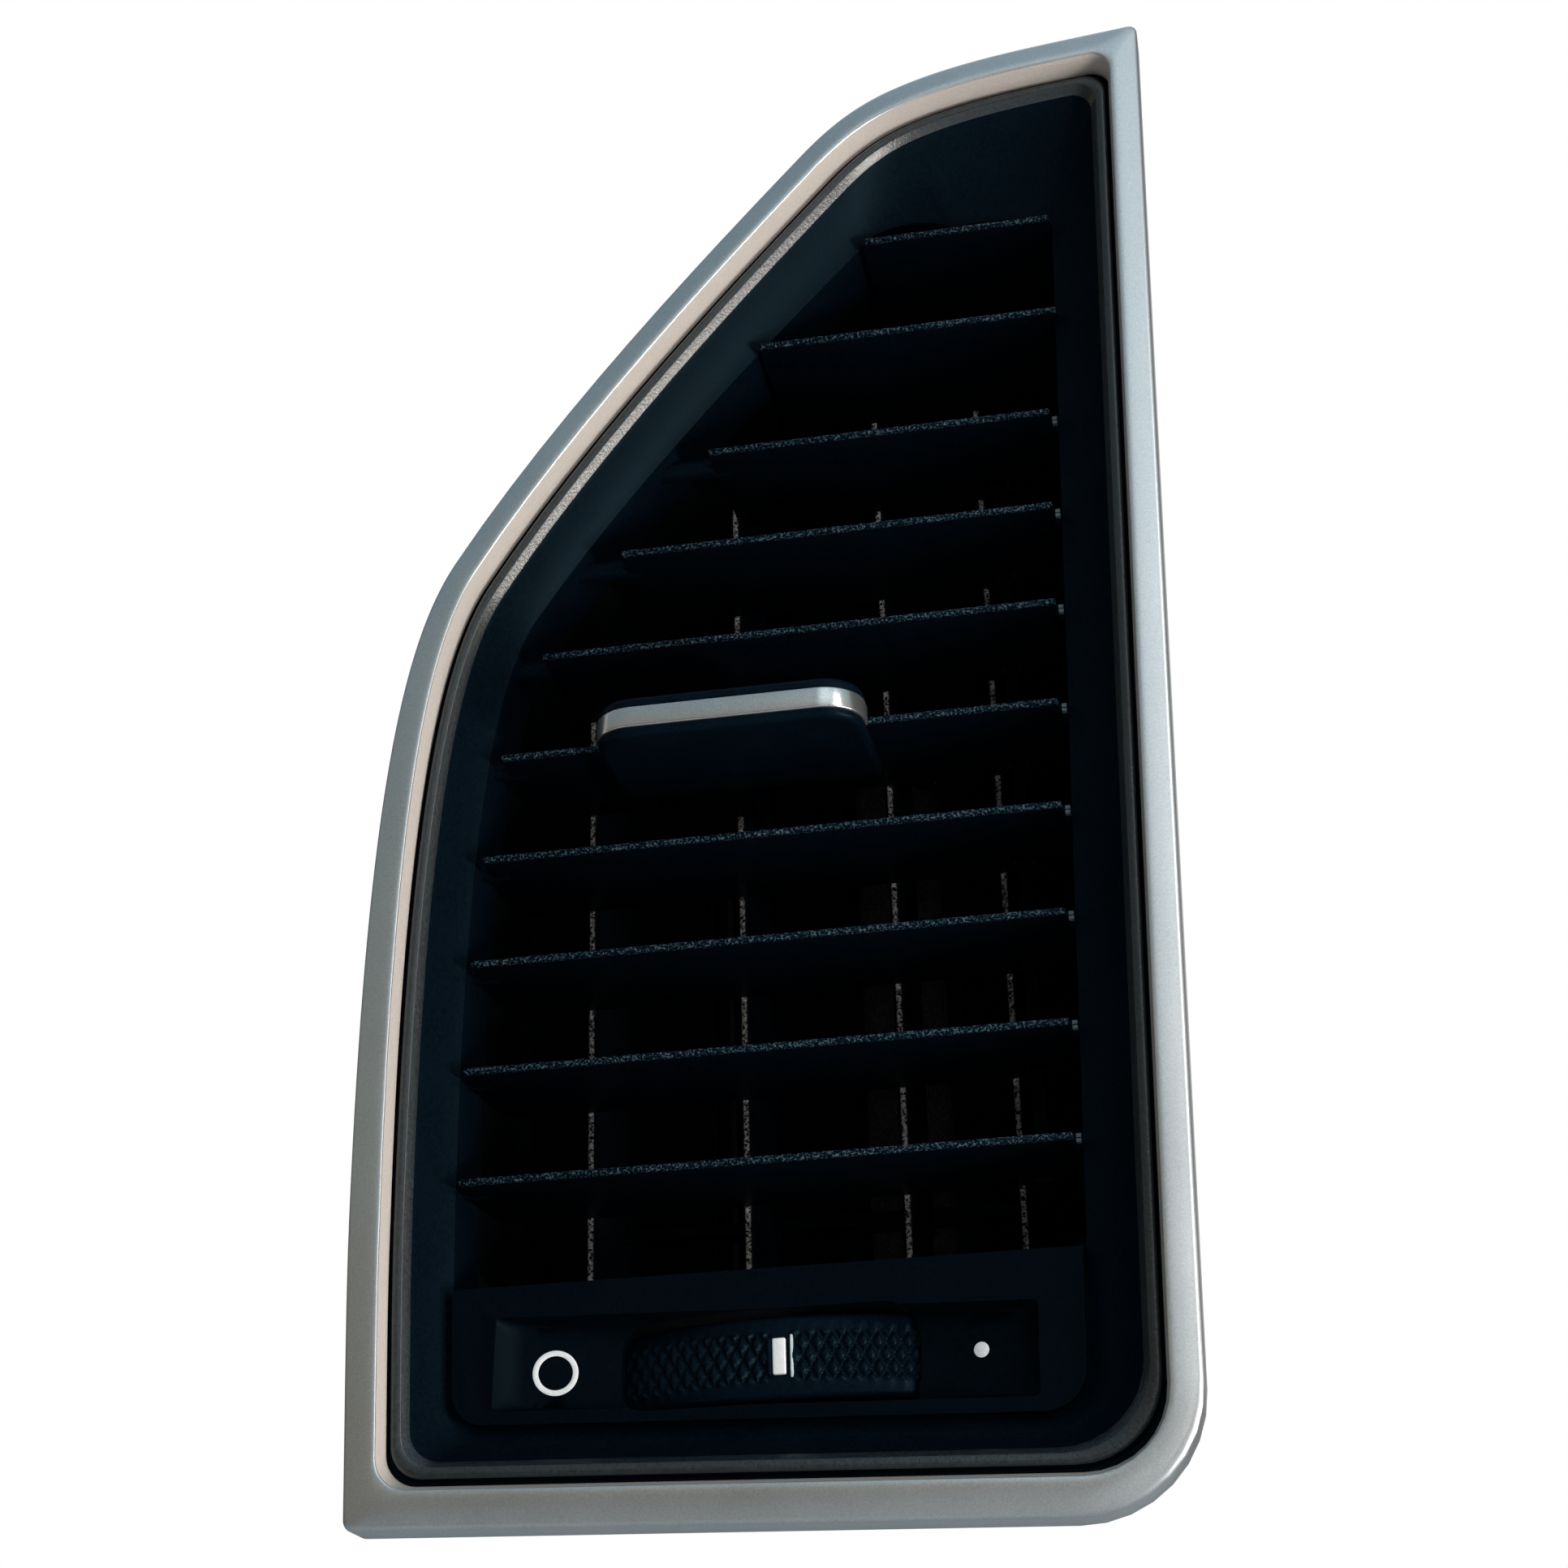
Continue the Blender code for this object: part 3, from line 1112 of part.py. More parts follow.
def dish_points(grow):
    """Plan of the dish as (x, y) points: round ends and a floor that is deepest at the wheel."""
    left = DISH_LEFT - grow
    right = DISH_RIGHT + grow
    steps = 12
    points = [(left, PANEL_Y - 0.001 + grow)]
    for step in range(steps + 1):
        share = 2 * step / steps - 1
        depth = DISH_END_DEPTH + (DISH_DEPTH - DISH_END_DEPTH) * (1 - share * share)
        points.append((left + (right - left) * step / steps, PANEL_Y + depth + grow))
    return points + [(right, PANEL_Y - 0.001 + grow)]


def slanted(bm):
    """Turn a shape about the dish's middle so that it follows the vent's sloping lower edge."""
    middle = ((DISH_LEFT + DISH_RIGHT) / 2, PANEL_Y, WHEEL_Z)
    turn = Matrix.Rotation(math.radians(DISH_SLANT), 3, "Y")
    bmesh.ops.rotate(bm, cent=middle, matrix=turn, verts=bm.verts)
    return bm


def make_control_panel():
    """Panel with a hollow dish, the wheel's slot in its floor and a shelf that closes the duct's mouth."""
    shelf = PANEL_TOP - PANEL_THICKNESS
    section = [(PANEL_Y, -HEIGHT), (PANEL_Y + PANEL_THICKNESS, -HEIGHT), (PANEL_Y + PANEL_THICKNESS, shelf),
               (SHROUD_REAR, shelf), (SHROUD_REAR, PANEL_TOP), (PANEL_Y, PANEL_TOP)]
    panel = object_from("control_panel", prism(section, "X", -WIDTH, WIDTH))
    half = DISH_HEIGHT / 2
    wall = PANEL_THICKNESS - 0.0002
    back_shape = prism(dish_points(wall), "Z", WHEEL_Z - half - wall, WHEEL_Z + half + wall)
    join(panel, slanted(back_shape), "dish_back")
    throat = prism([(p.x, p.y) for p in throat_outline(-GAP)], "Y", PANEL_Y - 0.002, SHROUD_REAR + 0.002)
    combine(panel, tool_from("control_panel_throat", throat), "INTERSECT")
    cut(panel, slanted(prism(dish_points(0.0), "Z", WHEEL_Z - half, WHEEL_Z + half)), "dish")
    room = WHEEL_RADIUS + WHEEL_ROOM
    low = WHEEL_Z - SLOT_HEIGHT / 2 - 0.0001
    high = WHEEL_Z + SLOT_HEIGHT / 2 + 0.0001
    cut(panel, rod((WHEEL_X, WHEEL_Y, low), (WHEEL_X, WHEEL_Y, high), room, 96), "wheel_room")
    slot_x = WHEEL_X + SLOT_SHIFT
    slot = rounded_rectangle((slot_x - SLOT_WIDTH / 2, WHEEL_Z - SLOT_HEIGHT / 2),
                             (slot_x + SLOT_WIDTH / 2, WHEEL_Z + SLOT_HEIGHT / 2), SLOT_CORNER)
    cut(panel, prism(slot, "Y", PANEL_Y - 0.002, PANEL_Y + 0.012), "wheel_slot")
    return finish(panel, BLACK_PLASTIC, 0.42)


def knurl_pad(start, end):
    """Diamond knurl over part of the wheel's rim: every other point of a fine net stands out."""
    columns = int(round(abs(end - start) / KNURL_PITCH))
    inner_radius = WHEEL_RADIUS - 0.0012
    net = []
    bm = bmesh.new()
    for row in range(KNURL_ROWS + 1):
        z = WHEEL_Z + KNURL_HEIGHT * (row / KNURL_ROWS - 0.5)
        line = []
        for column in range(columns + 1):
            angle = math.radians(start + (end - start) * column / columns - 90.0)
            inside = 0 < row < KNURL_ROWS and 0 < column < columns
            proud = KNURL_DEPTH if inside and (row + column) % 2 else 0.0
            radius = WHEEL_RADIUS - KNURL_DEPTH * 0.8 + proud
            line.append(bm.verts.new((WHEEL_X + radius * math.cos(angle),
                                      WHEEL_Y + radius * math.sin(angle), z)))
        net.append(line)
    back = []
    for row in (0, KNURL_ROWS):
        z = WHEEL_Z + KNURL_HEIGHT * (row / KNURL_ROWS - 0.5)
        line = []
        for column in range(columns + 1):
            angle = math.radians(start + (end - start) * column / columns - 90.0)
            line.append(bm.verts.new((WHEEL_X + inner_radius * math.cos(angle),
                                      WHEEL_Y + inner_radius * math.sin(angle), z)))
        back.append(line)
    for row in range(KNURL_ROWS):
        for column in range(columns):
            quad = (net[row][column], net[row][column + 1], net[row + 1][column + 1], net[row + 1][column])
            if (row + column) % 2:
                bm.faces.new((quad[0], quad[1], quad[2]))
                bm.faces.new((quad[0], quad[2], quad[3]))
            else:
                bm.faces.new((quad[0], quad[1], quad[3]))
                bm.faces.new((quad[1], quad[2], quad[3]))
    for column in range(columns):
        bm.faces.new((net[0][column], back[0][column], back[0][column + 1], net[0][column + 1]))
        bm.faces.new((net[-1][column], net[-1][column + 1], back[1][column + 1], back[1][column]))
        bm.faces.new((back[0][column], back[1][column], back[1][column + 1], back[0][column + 1]))
    for column in (0, columns):
        edge = [line[column] for line in net]
        bm.faces.new(edge + [back[1][column], back[0][column]])
    return bm


def wheel_sector(angle, inner, outer, low, high, steps=10):
    """Block over the wheel's rear that trims its rim and web to a sector."""
    points = arc((WHEEL_X, WHEEL_Y), outer, angle - 90.0, 270.0 - angle, steps * 2)
    points += arc((WHEEL_X, WHEEL_Y), inner, 270.0 - angle, angle - 90.0, steps * 2)
    return prism(points, "Z", low, high)


def make_thumb_wheel():
    """Turned wheel trimmed to a sector, with a knurled rim, a marker pocket and the damper's crank pin."""
    half = WHEEL_HEIGHT / 2
    web = WHEEL_WEB / 2
    bore = WHEEL_PIN_RADIUS + PIN_CLEARANCE
    rim_outer = WHEEL_RADIUS - KNURL_DEPTH
    rim_inner = WHEEL_RADIUS - WHEEL_RIM
    profile = (
        (bore, half), (HUB_RADIUS, half), (HUB_RADIUS, web), (rim_inner, web), (rim_inner, half),
        (rim_outer - 0.0008, half), (rim_outer - 0.0002, half - 0.0005), (rim_outer - 0.0002, -half + 0.0005),
        (rim_outer - 0.0008, -half), (rim_inner, -half), (rim_inner, -web), (HUB_RADIUS, -web),
        (HUB_RADIUS, -half), (bore, -half), (bore, half),
    )
    bm = bmesh.new()
    verts = [bm.verts.new((radius, 0.0, height)) for radius, height in profile]
    for first, second in zip(verts, verts[1:]):
        bm.edges.new((first, second))
    mesh = bpy.data.meshes.new("thumb_wheel")
    bm.to_mesh(mesh)
    bm.free()
    wheel = bpy.data.objects.new("thumb_wheel", mesh)
    PARTS.objects.link(wheel)
    wheel.location = (WHEEL_X, WHEEL_Y, WHEEL_Z)
    turned = wheel.modifiers.new("turned", "SCREW")
    turned.axis = "Z"
    turned.steps = 60
    turned.render_steps = 60
    turned.use_merge_vertices = True
    turned.merge_threshold = 0.00001
    low = WHEEL_Z - WHEEL_HEIGHT
    high = WHEEL_Z + WHEEL_HEIGHT
    cut(wheel, wheel_sector(WHEEL_SECTOR, WHEEL_WEB_RADIUS, WHEEL_RADIUS * 1.3, low, high), "sector")
    join(wheel, knurl_pad(-WHEEL_SECTOR + 1.5, -MARKER_BAND), "knurl_left")
    join(wheel, knurl_pad(MARKER_BAND, WHEEL_SECTOR - 1.5), "knurl_right")
    pocket = MARKER_DEPTH + GAP
    front = WHEEL_Y - WHEEL_RADIUS
    cut(wheel, box((WHEEL_X - MARKER_WIDTH / 2 - GAP, front - 0.001, WHEEL_Z - MARKER_HEIGHT / 2 - GAP),
                   (WHEEL_X + MARKER_WIDTH / 2 + GAP, front + pocket, WHEEL_Z + MARKER_HEIGHT / 2 + GAP)),
        "marker_pocket")
    pin_x = WHEEL_X + CRANK_ARM
    join(wheel, rod((pin_x, WHEEL_Y, WHEEL_Z), (pin_x, WHEEL_Y, ROD_Z + ROD_THICKNESS), CRANK_PIN_RADIUS),
         "crank_pin")
    shoulder = ROD_Z - ROD_THICKNESS / 2 - GAP
    join(wheel, rod((pin_x, WHEEL_Y, WHEEL_Z), (pin_x, WHEEL_Y, shoulder), CRANK_PIN_RADIUS * 1.8),
         "crank_boss")
    finish(wheel, BLACK_PLASTIC, 0.4, smooth_angle=20.0)
    marker_block = box((WHEEL_X - MARKER_WIDTH / 2, front - 0.0001, WHEEL_Z - MARKER_HEIGHT / 2),
                       (WHEEL_X + MARKER_WIDTH / 2, front + MARKER_DEPTH, WHEEL_Z + MARKER_HEIGHT / 2))
    marker = object_from("wheel_marker", marker_block)
    set_pivot(marker, (WHEEL_X, WHEEL_Y, WHEEL_Z))
    finish(marker, WHITE_PLASTIC, 0.3)
    return wheel, marker


def make_wheel_tray():
    """Tray under the duct: a floor with two bosses, side walls and a rear wall."""
    roof = FLOOR_Z - WALL - GAP
    front = DUCT_FRONT
    low = TRAY_BOTTOM + TRAY_LOW_WALL
    step_y = WHEEL_Y + TRAY_STEP_BEHIND_PIN
    rear_bottom = TRAY_BOTTOM + TRAY_STEP
    section = [(front, TRAY_BOTTOM), (step_y, TRAY_BOTTOM), (step_y + TRAY_STEP, rear_bottom),
               (TRAY_REAR, rear_bottom), (TRAY_REAR, low), (DUCT_STRAIGHT_REAR + TRAY_LOW_WALL / 2, low),
               (DUCT_STRAIGHT_REAR, roof), (front, roof)]
    tray = object_from("wheel_tray", prism(section, "X", TRAY_LEFT, TRAY_RIGHT))
    floor = TRAY_BOTTOM + TRAY_WALL
    rear_floor = rear_bottom + TRAY_WALL
    inner_step_y = step_y - TRAY_WALL * 0.4
    inner_rear = TRAY_REAR - TRAY_WALL
    hollow = [(front - CUT_REACH, floor), (inner_step_y, floor), (inner_step_y + TRAY_STEP, rear_floor),
              (inner_rear, rear_floor), (inner_rear, roof + CUT_REACH), (front - CUT_REACH, roof + CUT_REACH)]
    cut(tray, prism(hollow, "X", TRAY_LEFT + TRAY_WALL, TRAY_RIGHT - TRAY_WALL), "inside")
    hub_bottom = WHEEL_Z - WHEEL_HEIGHT / 2 - GAP
    join(tray, rod((WHEEL_X, WHEEL_Y, TRAY_BOTTOM + TRAY_WALL / 2), (WHEEL_X, WHEEL_Y, hub_bottom), HUB_RADIUS),
         "wheel_boss")
    cut(tray, rod((WHEEL_X, WHEEL_Y, floor), (WHEEL_X, WHEEL_Y, hub_bottom + CUT_REACH),
                  WHEEL_PIN_RADIUS + PIN_CLEARANCE), "wheel_pin_hole")
    crank_bottom = crank_z() - CRANK_THICKNESS / 2 - GAP
    join(tray, rod((COLLAR_X, FLAP_Y, rear_bottom + TRAY_WALL / 2), (COLLAR_X, FLAP_Y, crank_bottom),
                   FLAP_BOSS_RADIUS), "flap_boss")
    cut(tray, rod((COLLAR_X, FLAP_Y, rear_floor), (COLLAR_X, FLAP_Y, crank_bottom + CUT_REACH),
                  FLAP_AXLE_RADIUS + PIN_CLEARANCE, 20), "flap_axle_hole")
    return finish(tray, DARK_PLASTIC, 0.55)


def crank_z():
    """Height of the middle of the damper's lever, just under the rod."""
    return ROD_Z - ROD_THICKNESS / 2 - GAP - CRANK_THICKNESS / 2 - 0.0006


def make_wheel_pin():
    """Steel axle of the thumbwheel, from the tray's boss to just under the duct's floor."""
    pin = object_from("wheel_pin", rod((WHEEL_X, WHEEL_Y, TRAY_BOTTOM + TRAY_WALL + GAP),
                                       (WHEEL_X, WHEEL_Y, FLOOR_Z - WALL - GAP), WHEEL_PIN_RADIUS, 20))
    return finish(pin, SPRING_STEEL, 0.3, 1.0)


def turned_about_flap(obj, angle):
    """Turn an object about the flap's axle."""
    obj.rotation_euler = (0.0, 0.0, math.radians(angle))


def make_damper():
    """Flap with its axle, the foam on its wings, the lever and the rod, set half open."""
    low = COLLAR_BOTTOM + 0.0006
    high = COLLAR_TOP - 0.0006
    thick = FLAP_THICKNESS / 2
    pivot = (COLLAR_X, FLAP_Y, 0.0)
    corner = COLLAR_CORNER + 0.001
    plate = rounded_rectangle((-FLAP_HALF + FLAP_FOAM * 0.4, low), (FLAP_HALF - FLAP_FOAM * 0.4, high), corner)
    flap = object_from("damper_flap", prism(plate, "X", -thick, thick))
    axle = rod((0.0, 0.0, crank_z() - CRANK_THICKNESS / 2 - 0.004), (0.0, 0.0, COLLAR_TOP + WALL - 0.0002),
               FLAP_AXLE_RADIUS, 20)
    flap.location = pivot
    turned_about_flap(flap, -FLAP_REST_ANGLE)
    axle_tool = tool_from("damper_flap_axle", axle)
    axle_tool.parent = flap
    joined = flap.modifiers.new("axle", "BOOLEAN")
    joined.operation = "UNION"
    joined.solver = "EXACT"
    joined.object = axle_tool
    finish(flap, DARK_PLASTIC, 0.5)
    near = FLAP_AXLE_RADIUS + GAP
    far = FLAP_HALF - FLAP_FOAM * 0.4
    face = thick + GAP
    for name, side in (("left", -1.0), ("right", 1.0)):
        xs = sorted((side * face, side * (face + FLAP_FOAM)))
        ys = sorted((side * near, side * far))
        pad = box((xs[0], ys[0], low + corner), (xs[1], ys[1], high - corner))
        foam = object_from(f"flap_seal_{name}", pad)
        foam.location = pivot
        turned_about_flap(foam, -FLAP_REST_ANGLE)
        finish(foam, GREY_FOAM, 0.95)
    z = crank_z()
    half = CRANK_THICKNESS / 2
    pin_x = COLLAR_X + CRANK_ARM
    lever = prism(capsule((COLLAR_X, FLAP_Y), (pin_x, FLAP_Y), CRANK_HALF_WIDTH), "Z", z - half, z + half)
    crank = object_from("damper_crank", lever)
    set_pivot(crank, (COLLAR_X, FLAP_Y, z))
    cut(crank, rod((COLLAR_X, FLAP_Y, z - CUT_REACH), (COLLAR_X, FLAP_Y, z + CUT_REACH),
                   FLAP_AXLE_RADIUS + GAP, 20), "bore")
    join(crank, rod((pin_x, FLAP_Y, z), (pin_x, FLAP_Y, ROD_Z + ROD_THICKNESS), CRANK_PIN_RADIUS), "pin")
    finish(crank, DARK_PLASTIC, 0.5)
    wheel_pin_x = WHEEL_X + CRANK_ARM
    rod_half = ROD_THICKNESS / 2
    flat_bar = capsule((wheel_pin_x, WHEEL_Y), (pin_x, FLAP_Y), ROD_WIDTH / 2)
    bar = object_from("damper_rod", prism(flat_bar, "Z", ROD_Z - rod_half, ROD_Z + rod_half))
    set_pivot(bar, (wheel_pin_x, WHEEL_Y, ROD_Z))
    for name, x, y in (("wheel", wheel_pin_x, WHEEL_Y), ("flap", pin_x, FLAP_Y)):
        cut(bar, rod((x, y, ROD_Z - CUT_REACH), (x, y, ROD_Z + CUT_REACH), CRANK_PIN_RADIUS + PIN_CLEARANCE),
            f"{name}_hole")
    finish(bar, DARK_PLASTIC, 0.5)
    return crank, bar


def main():
    """Make every piece and hang the moving ones on what carries them."""
    make_trim_bezel()
    make_front_shroud()
    make_control_panel()
    slats = [make_slat(number) for number in range(1, SLAT_COUNT + 1)]
    link = make_slat_link()
    for side in ("left", "right"):
        make_bearing_strip(side)
    knob_pieces = make_knob()
    carrier = slats[KNOB_SLAT - 1]
    ride_on(link, carrier)
    for piece in knob_pieces:
        ride_on(piece, carrier)
    side_vanes = [make_side_vane(number) for number in range(len(SIDE_VANE_X))]
    ride_on(make_side_link(), side_vanes[FORKED_VANE])
    make_duct_housing()
    make_rear_seal()
    make_clips()
    make_screws()
    make_wheel_tray()
    make_wheel_pin()
    wheel, marker = make_thumb_wheel()
    ride_on(marker, wheel)
    crank, bar = make_damper()
    ride_on(bar, wheel)


main()
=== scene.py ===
"""Dashboard air vent: fine pieces, finishes, light and camera over the fixed frame.

X runs to the right as the driver faces the vent, Y into the dashboard and Z up. Lengths are in metres
and angles in degrees unless a name says otherwise.
"""

import json
import math

import bmesh
import bpy
from mathutils import Matrix, Vector, geometry


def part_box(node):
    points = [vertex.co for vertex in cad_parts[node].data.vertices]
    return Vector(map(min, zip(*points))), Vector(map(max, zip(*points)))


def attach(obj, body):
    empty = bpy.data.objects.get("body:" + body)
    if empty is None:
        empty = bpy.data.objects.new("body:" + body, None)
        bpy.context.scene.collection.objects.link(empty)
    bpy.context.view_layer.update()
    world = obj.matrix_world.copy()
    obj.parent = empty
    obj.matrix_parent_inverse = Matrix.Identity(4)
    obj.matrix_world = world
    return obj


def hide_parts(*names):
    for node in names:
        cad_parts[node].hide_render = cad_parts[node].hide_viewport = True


bl_info = {
    "name": "Dashboard air vent",
    "version": (1, 0, 0),
    "blender": (4, 5, 0),
    "location": "3D View > Sidebar > Air vent",
    "description": "Makes the fine pieces, finishes and studio of a dashboard air vent over its solid model",
    "category": "Object",
}

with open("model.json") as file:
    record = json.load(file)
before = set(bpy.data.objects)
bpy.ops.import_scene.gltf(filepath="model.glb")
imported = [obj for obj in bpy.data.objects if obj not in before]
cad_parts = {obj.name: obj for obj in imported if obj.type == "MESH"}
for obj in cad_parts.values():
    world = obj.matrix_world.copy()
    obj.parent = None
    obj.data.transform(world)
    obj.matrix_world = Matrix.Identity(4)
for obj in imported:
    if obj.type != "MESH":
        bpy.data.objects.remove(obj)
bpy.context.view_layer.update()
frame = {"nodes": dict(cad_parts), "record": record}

# Outline of the face, which is the same as the solid model's: each knot is its place as a share of the
# half width and half height, its heading and how far its handles reach back and on
WIDTH = 0.102
HEIGHT = 0.1924
TOP_RIGHT = (1.0, 1.0, 185.5, 0.0, 0.012)
SHOULDER_TOP = (0.353, 0.9475, 200.5, 0.010, 0.0055)
SHOULDER_END = (0.108, 0.857, 226.5, 0.0055, 0.020)
DIAGONAL_END = (-0.796, 0.278, 237.5, 0.024, 0.011)
LEFT_WIDEST = (-1.0, -0.602, 270.0, 0.056, 0.010)
BOTTOM_LEFT = (-0.984, -0.964, 271.3, 0.010, 0.0)
OUTLINE_KNOTS = (TOP_RIGHT, SHOULDER_TOP, SHOULDER_END, DIAGONAL_END, LEFT_WIDEST, BOTTOM_LEFT)
BOTTOM_RIGHT = (0.867, -0.999)
KNOT_STEPS = (16, 16, 12, 36, 10)
CORNER_STEPS = 8
EDGE_STEPS = 16

# Trim ring and shroud: depths run back from the front of the ring, and insets in from the outline
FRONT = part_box("trim_bezel")[0].y
TRIM_THICKNESS = 0.003
TRIM_LIP = 0.004
TRIM_FACE = 0.0033
TRIM_BOTTOM_EXTRA = 0.0014
FACE_EDGE = 0.0032
FACE_EXTRA = (0.0004, 0.0003, 0.0001, 0.0003, 0.0008, 0.0006)
FACE_RIGHT_EXTRA = 0.0005
FACE_BOTTOM_EXTRA = 0.0011
FACE_ROUND = 0.0006
FACE_ROLL = 0.00022
FACE_ROLL_TURN = (12.0, 80.0)
FACE_DIP = 0.00007
RING_WALL = ((0.0001, 0.0009), (0.0003, 0.0020), (0.0004, 0.0027))
RING_BACK_INSET = 0.0007
SKIRT_EDGE = 0.0002
TRIM_CORNERS = (0.0010, 0.0013, 0.0140)
TRIM_INNER_CORNERS = (0.0027, 0.0038, 0.0095)
GAP = 0.0003
WALL = 0.0018
FLANGE_FRONT = FRONT + TRIM_THICKNESS + GAP
FLANGE_INSET = 0.0009
SEAT_Y = FLANGE_FRONT + 0.0026
RIM_INSET = 0.0046
RIM_ROLL = ((0.0, 0.0001), (0.00006, -0.00010), (0.00016, -0.00022), (0.00032, -0.00028),
            (0.00056, -0.00028), (0.00090, -0.00024), (0.00112, -0.00018))
RIM_ROUND = 0.00028
RIM_TURN = (16.0, 51.0)
RIM_CHAMFER = (0.00072, 0.00089)
THROAT_Y = FRONT + 0.0096
THROAT_RIGHT = 0.0127
THROAT_BOTTOM = 0.0124
THROAT_CURVE = (0.0232, 0.0180, 0.0114, 0.0095, 0.0100, 0.0100)
THROAT_CORNERS = (0.0025, 0.0040, 0.0050)
JOINT_FLANGE = 0.0050
JOINT_FLANGE_THICKNESS = 0.0016
SHROUD_REAR = FRONT + 0.0190

# Slats
PIVOT_Y = FRONT + 0.0130
SLATS = [f"slat_{number}" for number in range(1, 9)]
SLAT_CHORD = 0.0220
SLAT_NOSE_AHEAD = 0.0055
SLAT_THICKNESS = 0.0016
SLAT_TAIL = 0.0004
SLAT_DROOP = 3.0
SLAT_TILT = 20.0
SLAT_DROP = 0.00045
SLAT_PIN_RADIUS = 0.0013
SLAT_END_GAP = 0.0008
PIN_OVERLAP = 0.002
PIN_MARK_SPREAD = 0.0003
PIN_MARK_HALF = 0.00022
FIXED_SLAT_BITE = 0.0003
ROOF_GAP = 0.0032
FIXED_SLAT_PITCH = 0.01445
LINK_ARM = 0.0145
LINK_WIDTH = 0.0044
LINK_PIN_RADIUS = 0.0009
LINK_NOTCH_WIDTH = 0.0028
KNOB_SLAT = "slat_4"

# Knob
KNOB_LOW, KNOB_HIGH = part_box("knob_body")
KNOB_X = (KNOB_LOW.x + KNOB_HIGH.x) / 2
KNOB_WIDTH = KNOB_HIGH.x - KNOB_LOW.x
KNOB_BELOW = 0.0030
KNOB_Z = KNOB_LOW.z + KNOB_BELOW
KNOB_CORNER = 0.0050
KNOB_EDGE = 0.0009
KNOB_SLOT_AHEAD = 0.0005
KNOB_TRAVEL = 0.0048
STRIP_HEIGHT = 0.0027
STRIP_DROP = 0.00045
STRIP_WALL = 0.0009
STRIP_PROUD = 0.0002
STRIP_EDGE = 0.00025

# Upright vanes
SIDE_VANES = [f"side_vane_{number}" for number in range(1, 5)]
FORKED_VANE = "side_vane_2"
SIDE_VANE_THICKNESS = 0.0015
SIDE_VANE_AHEAD = 0.0110
SIDE_VANE_CHORD = 0.0200
SIDE_VANE_TAIL = 0.0004
SIDE_PIN_RADIUS = 0.0012
SIDE_PIN_BELOW = 0.0024
SIDE_PIN_ABOVE = 0.0028
SIDE_LINK_ARM = 0.0075
FORK_BAR_ARM = 0.0101
FORK_BAR_RADIUS = 0.0009
FORK_WINDOW_HALF = 0.0105

# Control panel and thumbwheel
PANEL_Y = FRONT + 0.0080
PANEL_THICKNESS = 0.0018
PANEL_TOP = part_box("control_panel")[1].z
DISH_FROM_LEFT = 0.0051
DISH_FROM_RIGHT = 0.0055
DISH_HEIGHT = 0.0107
DISH_SLANT = 1.9
DISH_END_DEPTH = 0.0016
DISH_DEPTH = 0.0046
DISH_SIDES = (0.0030, 0.0016, 0.0008)
WHEEL_RADIUS = 0.0340
WHEEL_X = (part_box("wheel_pin")[0].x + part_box("wheel_pin")[1].x) / 2
WHEEL_Y = (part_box("wheel_pin")[0].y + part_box("wheel_pin")[1].y) / 2
WHEEL_Z = PANEL_TOP - 0.0100
WHEEL_HEIGHT = 0.0094
WHEEL_SECTOR = 62.0
WHEEL_WEB_RADIUS = 0.0190
SLOT_WIDTH = 0.0346
SLOT_SHIFT = -0.0016
SLOT_HEIGHT = 0.0106
SLOT_CORNER = 0.0035
MARKER_WIDTH = 0.0015
MARKER_HEIGHT = 0.0041
MARKER_DEPTH = 0.0016
MARKER_FLAT = (-2.1, 2.3)
PAD_HALF = 0.0030
PAD_END = 2.0
WHEEL_EDGE = 0.0006
WHEEL_RIM = 0.0028
WHEEL_WEB = 0.0015
WHEEL_BORE = 0.0023
WHEEL_HUB = 0.0048
CRANK_ARM = 0.0140
RING_PLACE = (-0.0289, -0.0751)
DOT_PLACE = (0.0201, -0.0756)

# Camera, and the white backdrop behind the vent: its direction from the vent and its half width in degrees
CAMERA_PLACE = (0.05417, -0.34321, -0.1451)
CAMERA_FORWARD = (-0.161, 0.896, 0.4143)
CAMERA_RIGHT = (0.982, 0.187, -0.0233)
CAMERA_SENSOR = 36.0
CAMERA_LENS = 63.35
BACKDROP_DIRECTION = CAMERA_FORWARD
BACKDROP_HALF_WIDTH = 22.0
BACKDROP_EDGE = 28.0

# Colours of the studio's walls: heights for the walls and the share of the right wall across the room
LEFT_WALL = (
    (0.0, (0.11, 0.08, 0.055)), (0.21, (0.12, 0.088, 0.058)), (0.34, (0.31, 0.265, 0.18)),
    (0.48, (0.28, 0.315, 0.30)), (0.66, (0.24, 0.32, 0.36)), (0.84, (0.22, 0.33, 0.40)),
    (1.0, (0.22, 0.33, 0.41)))
RIGHT_WALL = (
    (0.0, (0.20, 0.195, 0.19)), (0.25, (0.32, 0.32, 0.32)), (0.40, (0.80, 0.82, 0.85)),
    (0.52, (1.60, 1.78, 1.84)), (0.66, (1.05, 1.27, 1.38)), (0.80, (0.55, 0.70, 0.80)),
    (1.0, (0.4, 0.5, 0.6)))
RIGHTNESS = (
    (0.0, (0.0, 0.0, 0.0)), (0.465, (0.0, 0.0, 0.0)), (0.515, (1.0, 1.0, 1.0)),
    (0.66, (1.0, 1.0, 1.0)), (0.80, (0.2, 0.2, 0.2)), (1.0, (0.1, 0.1, 0.1)))


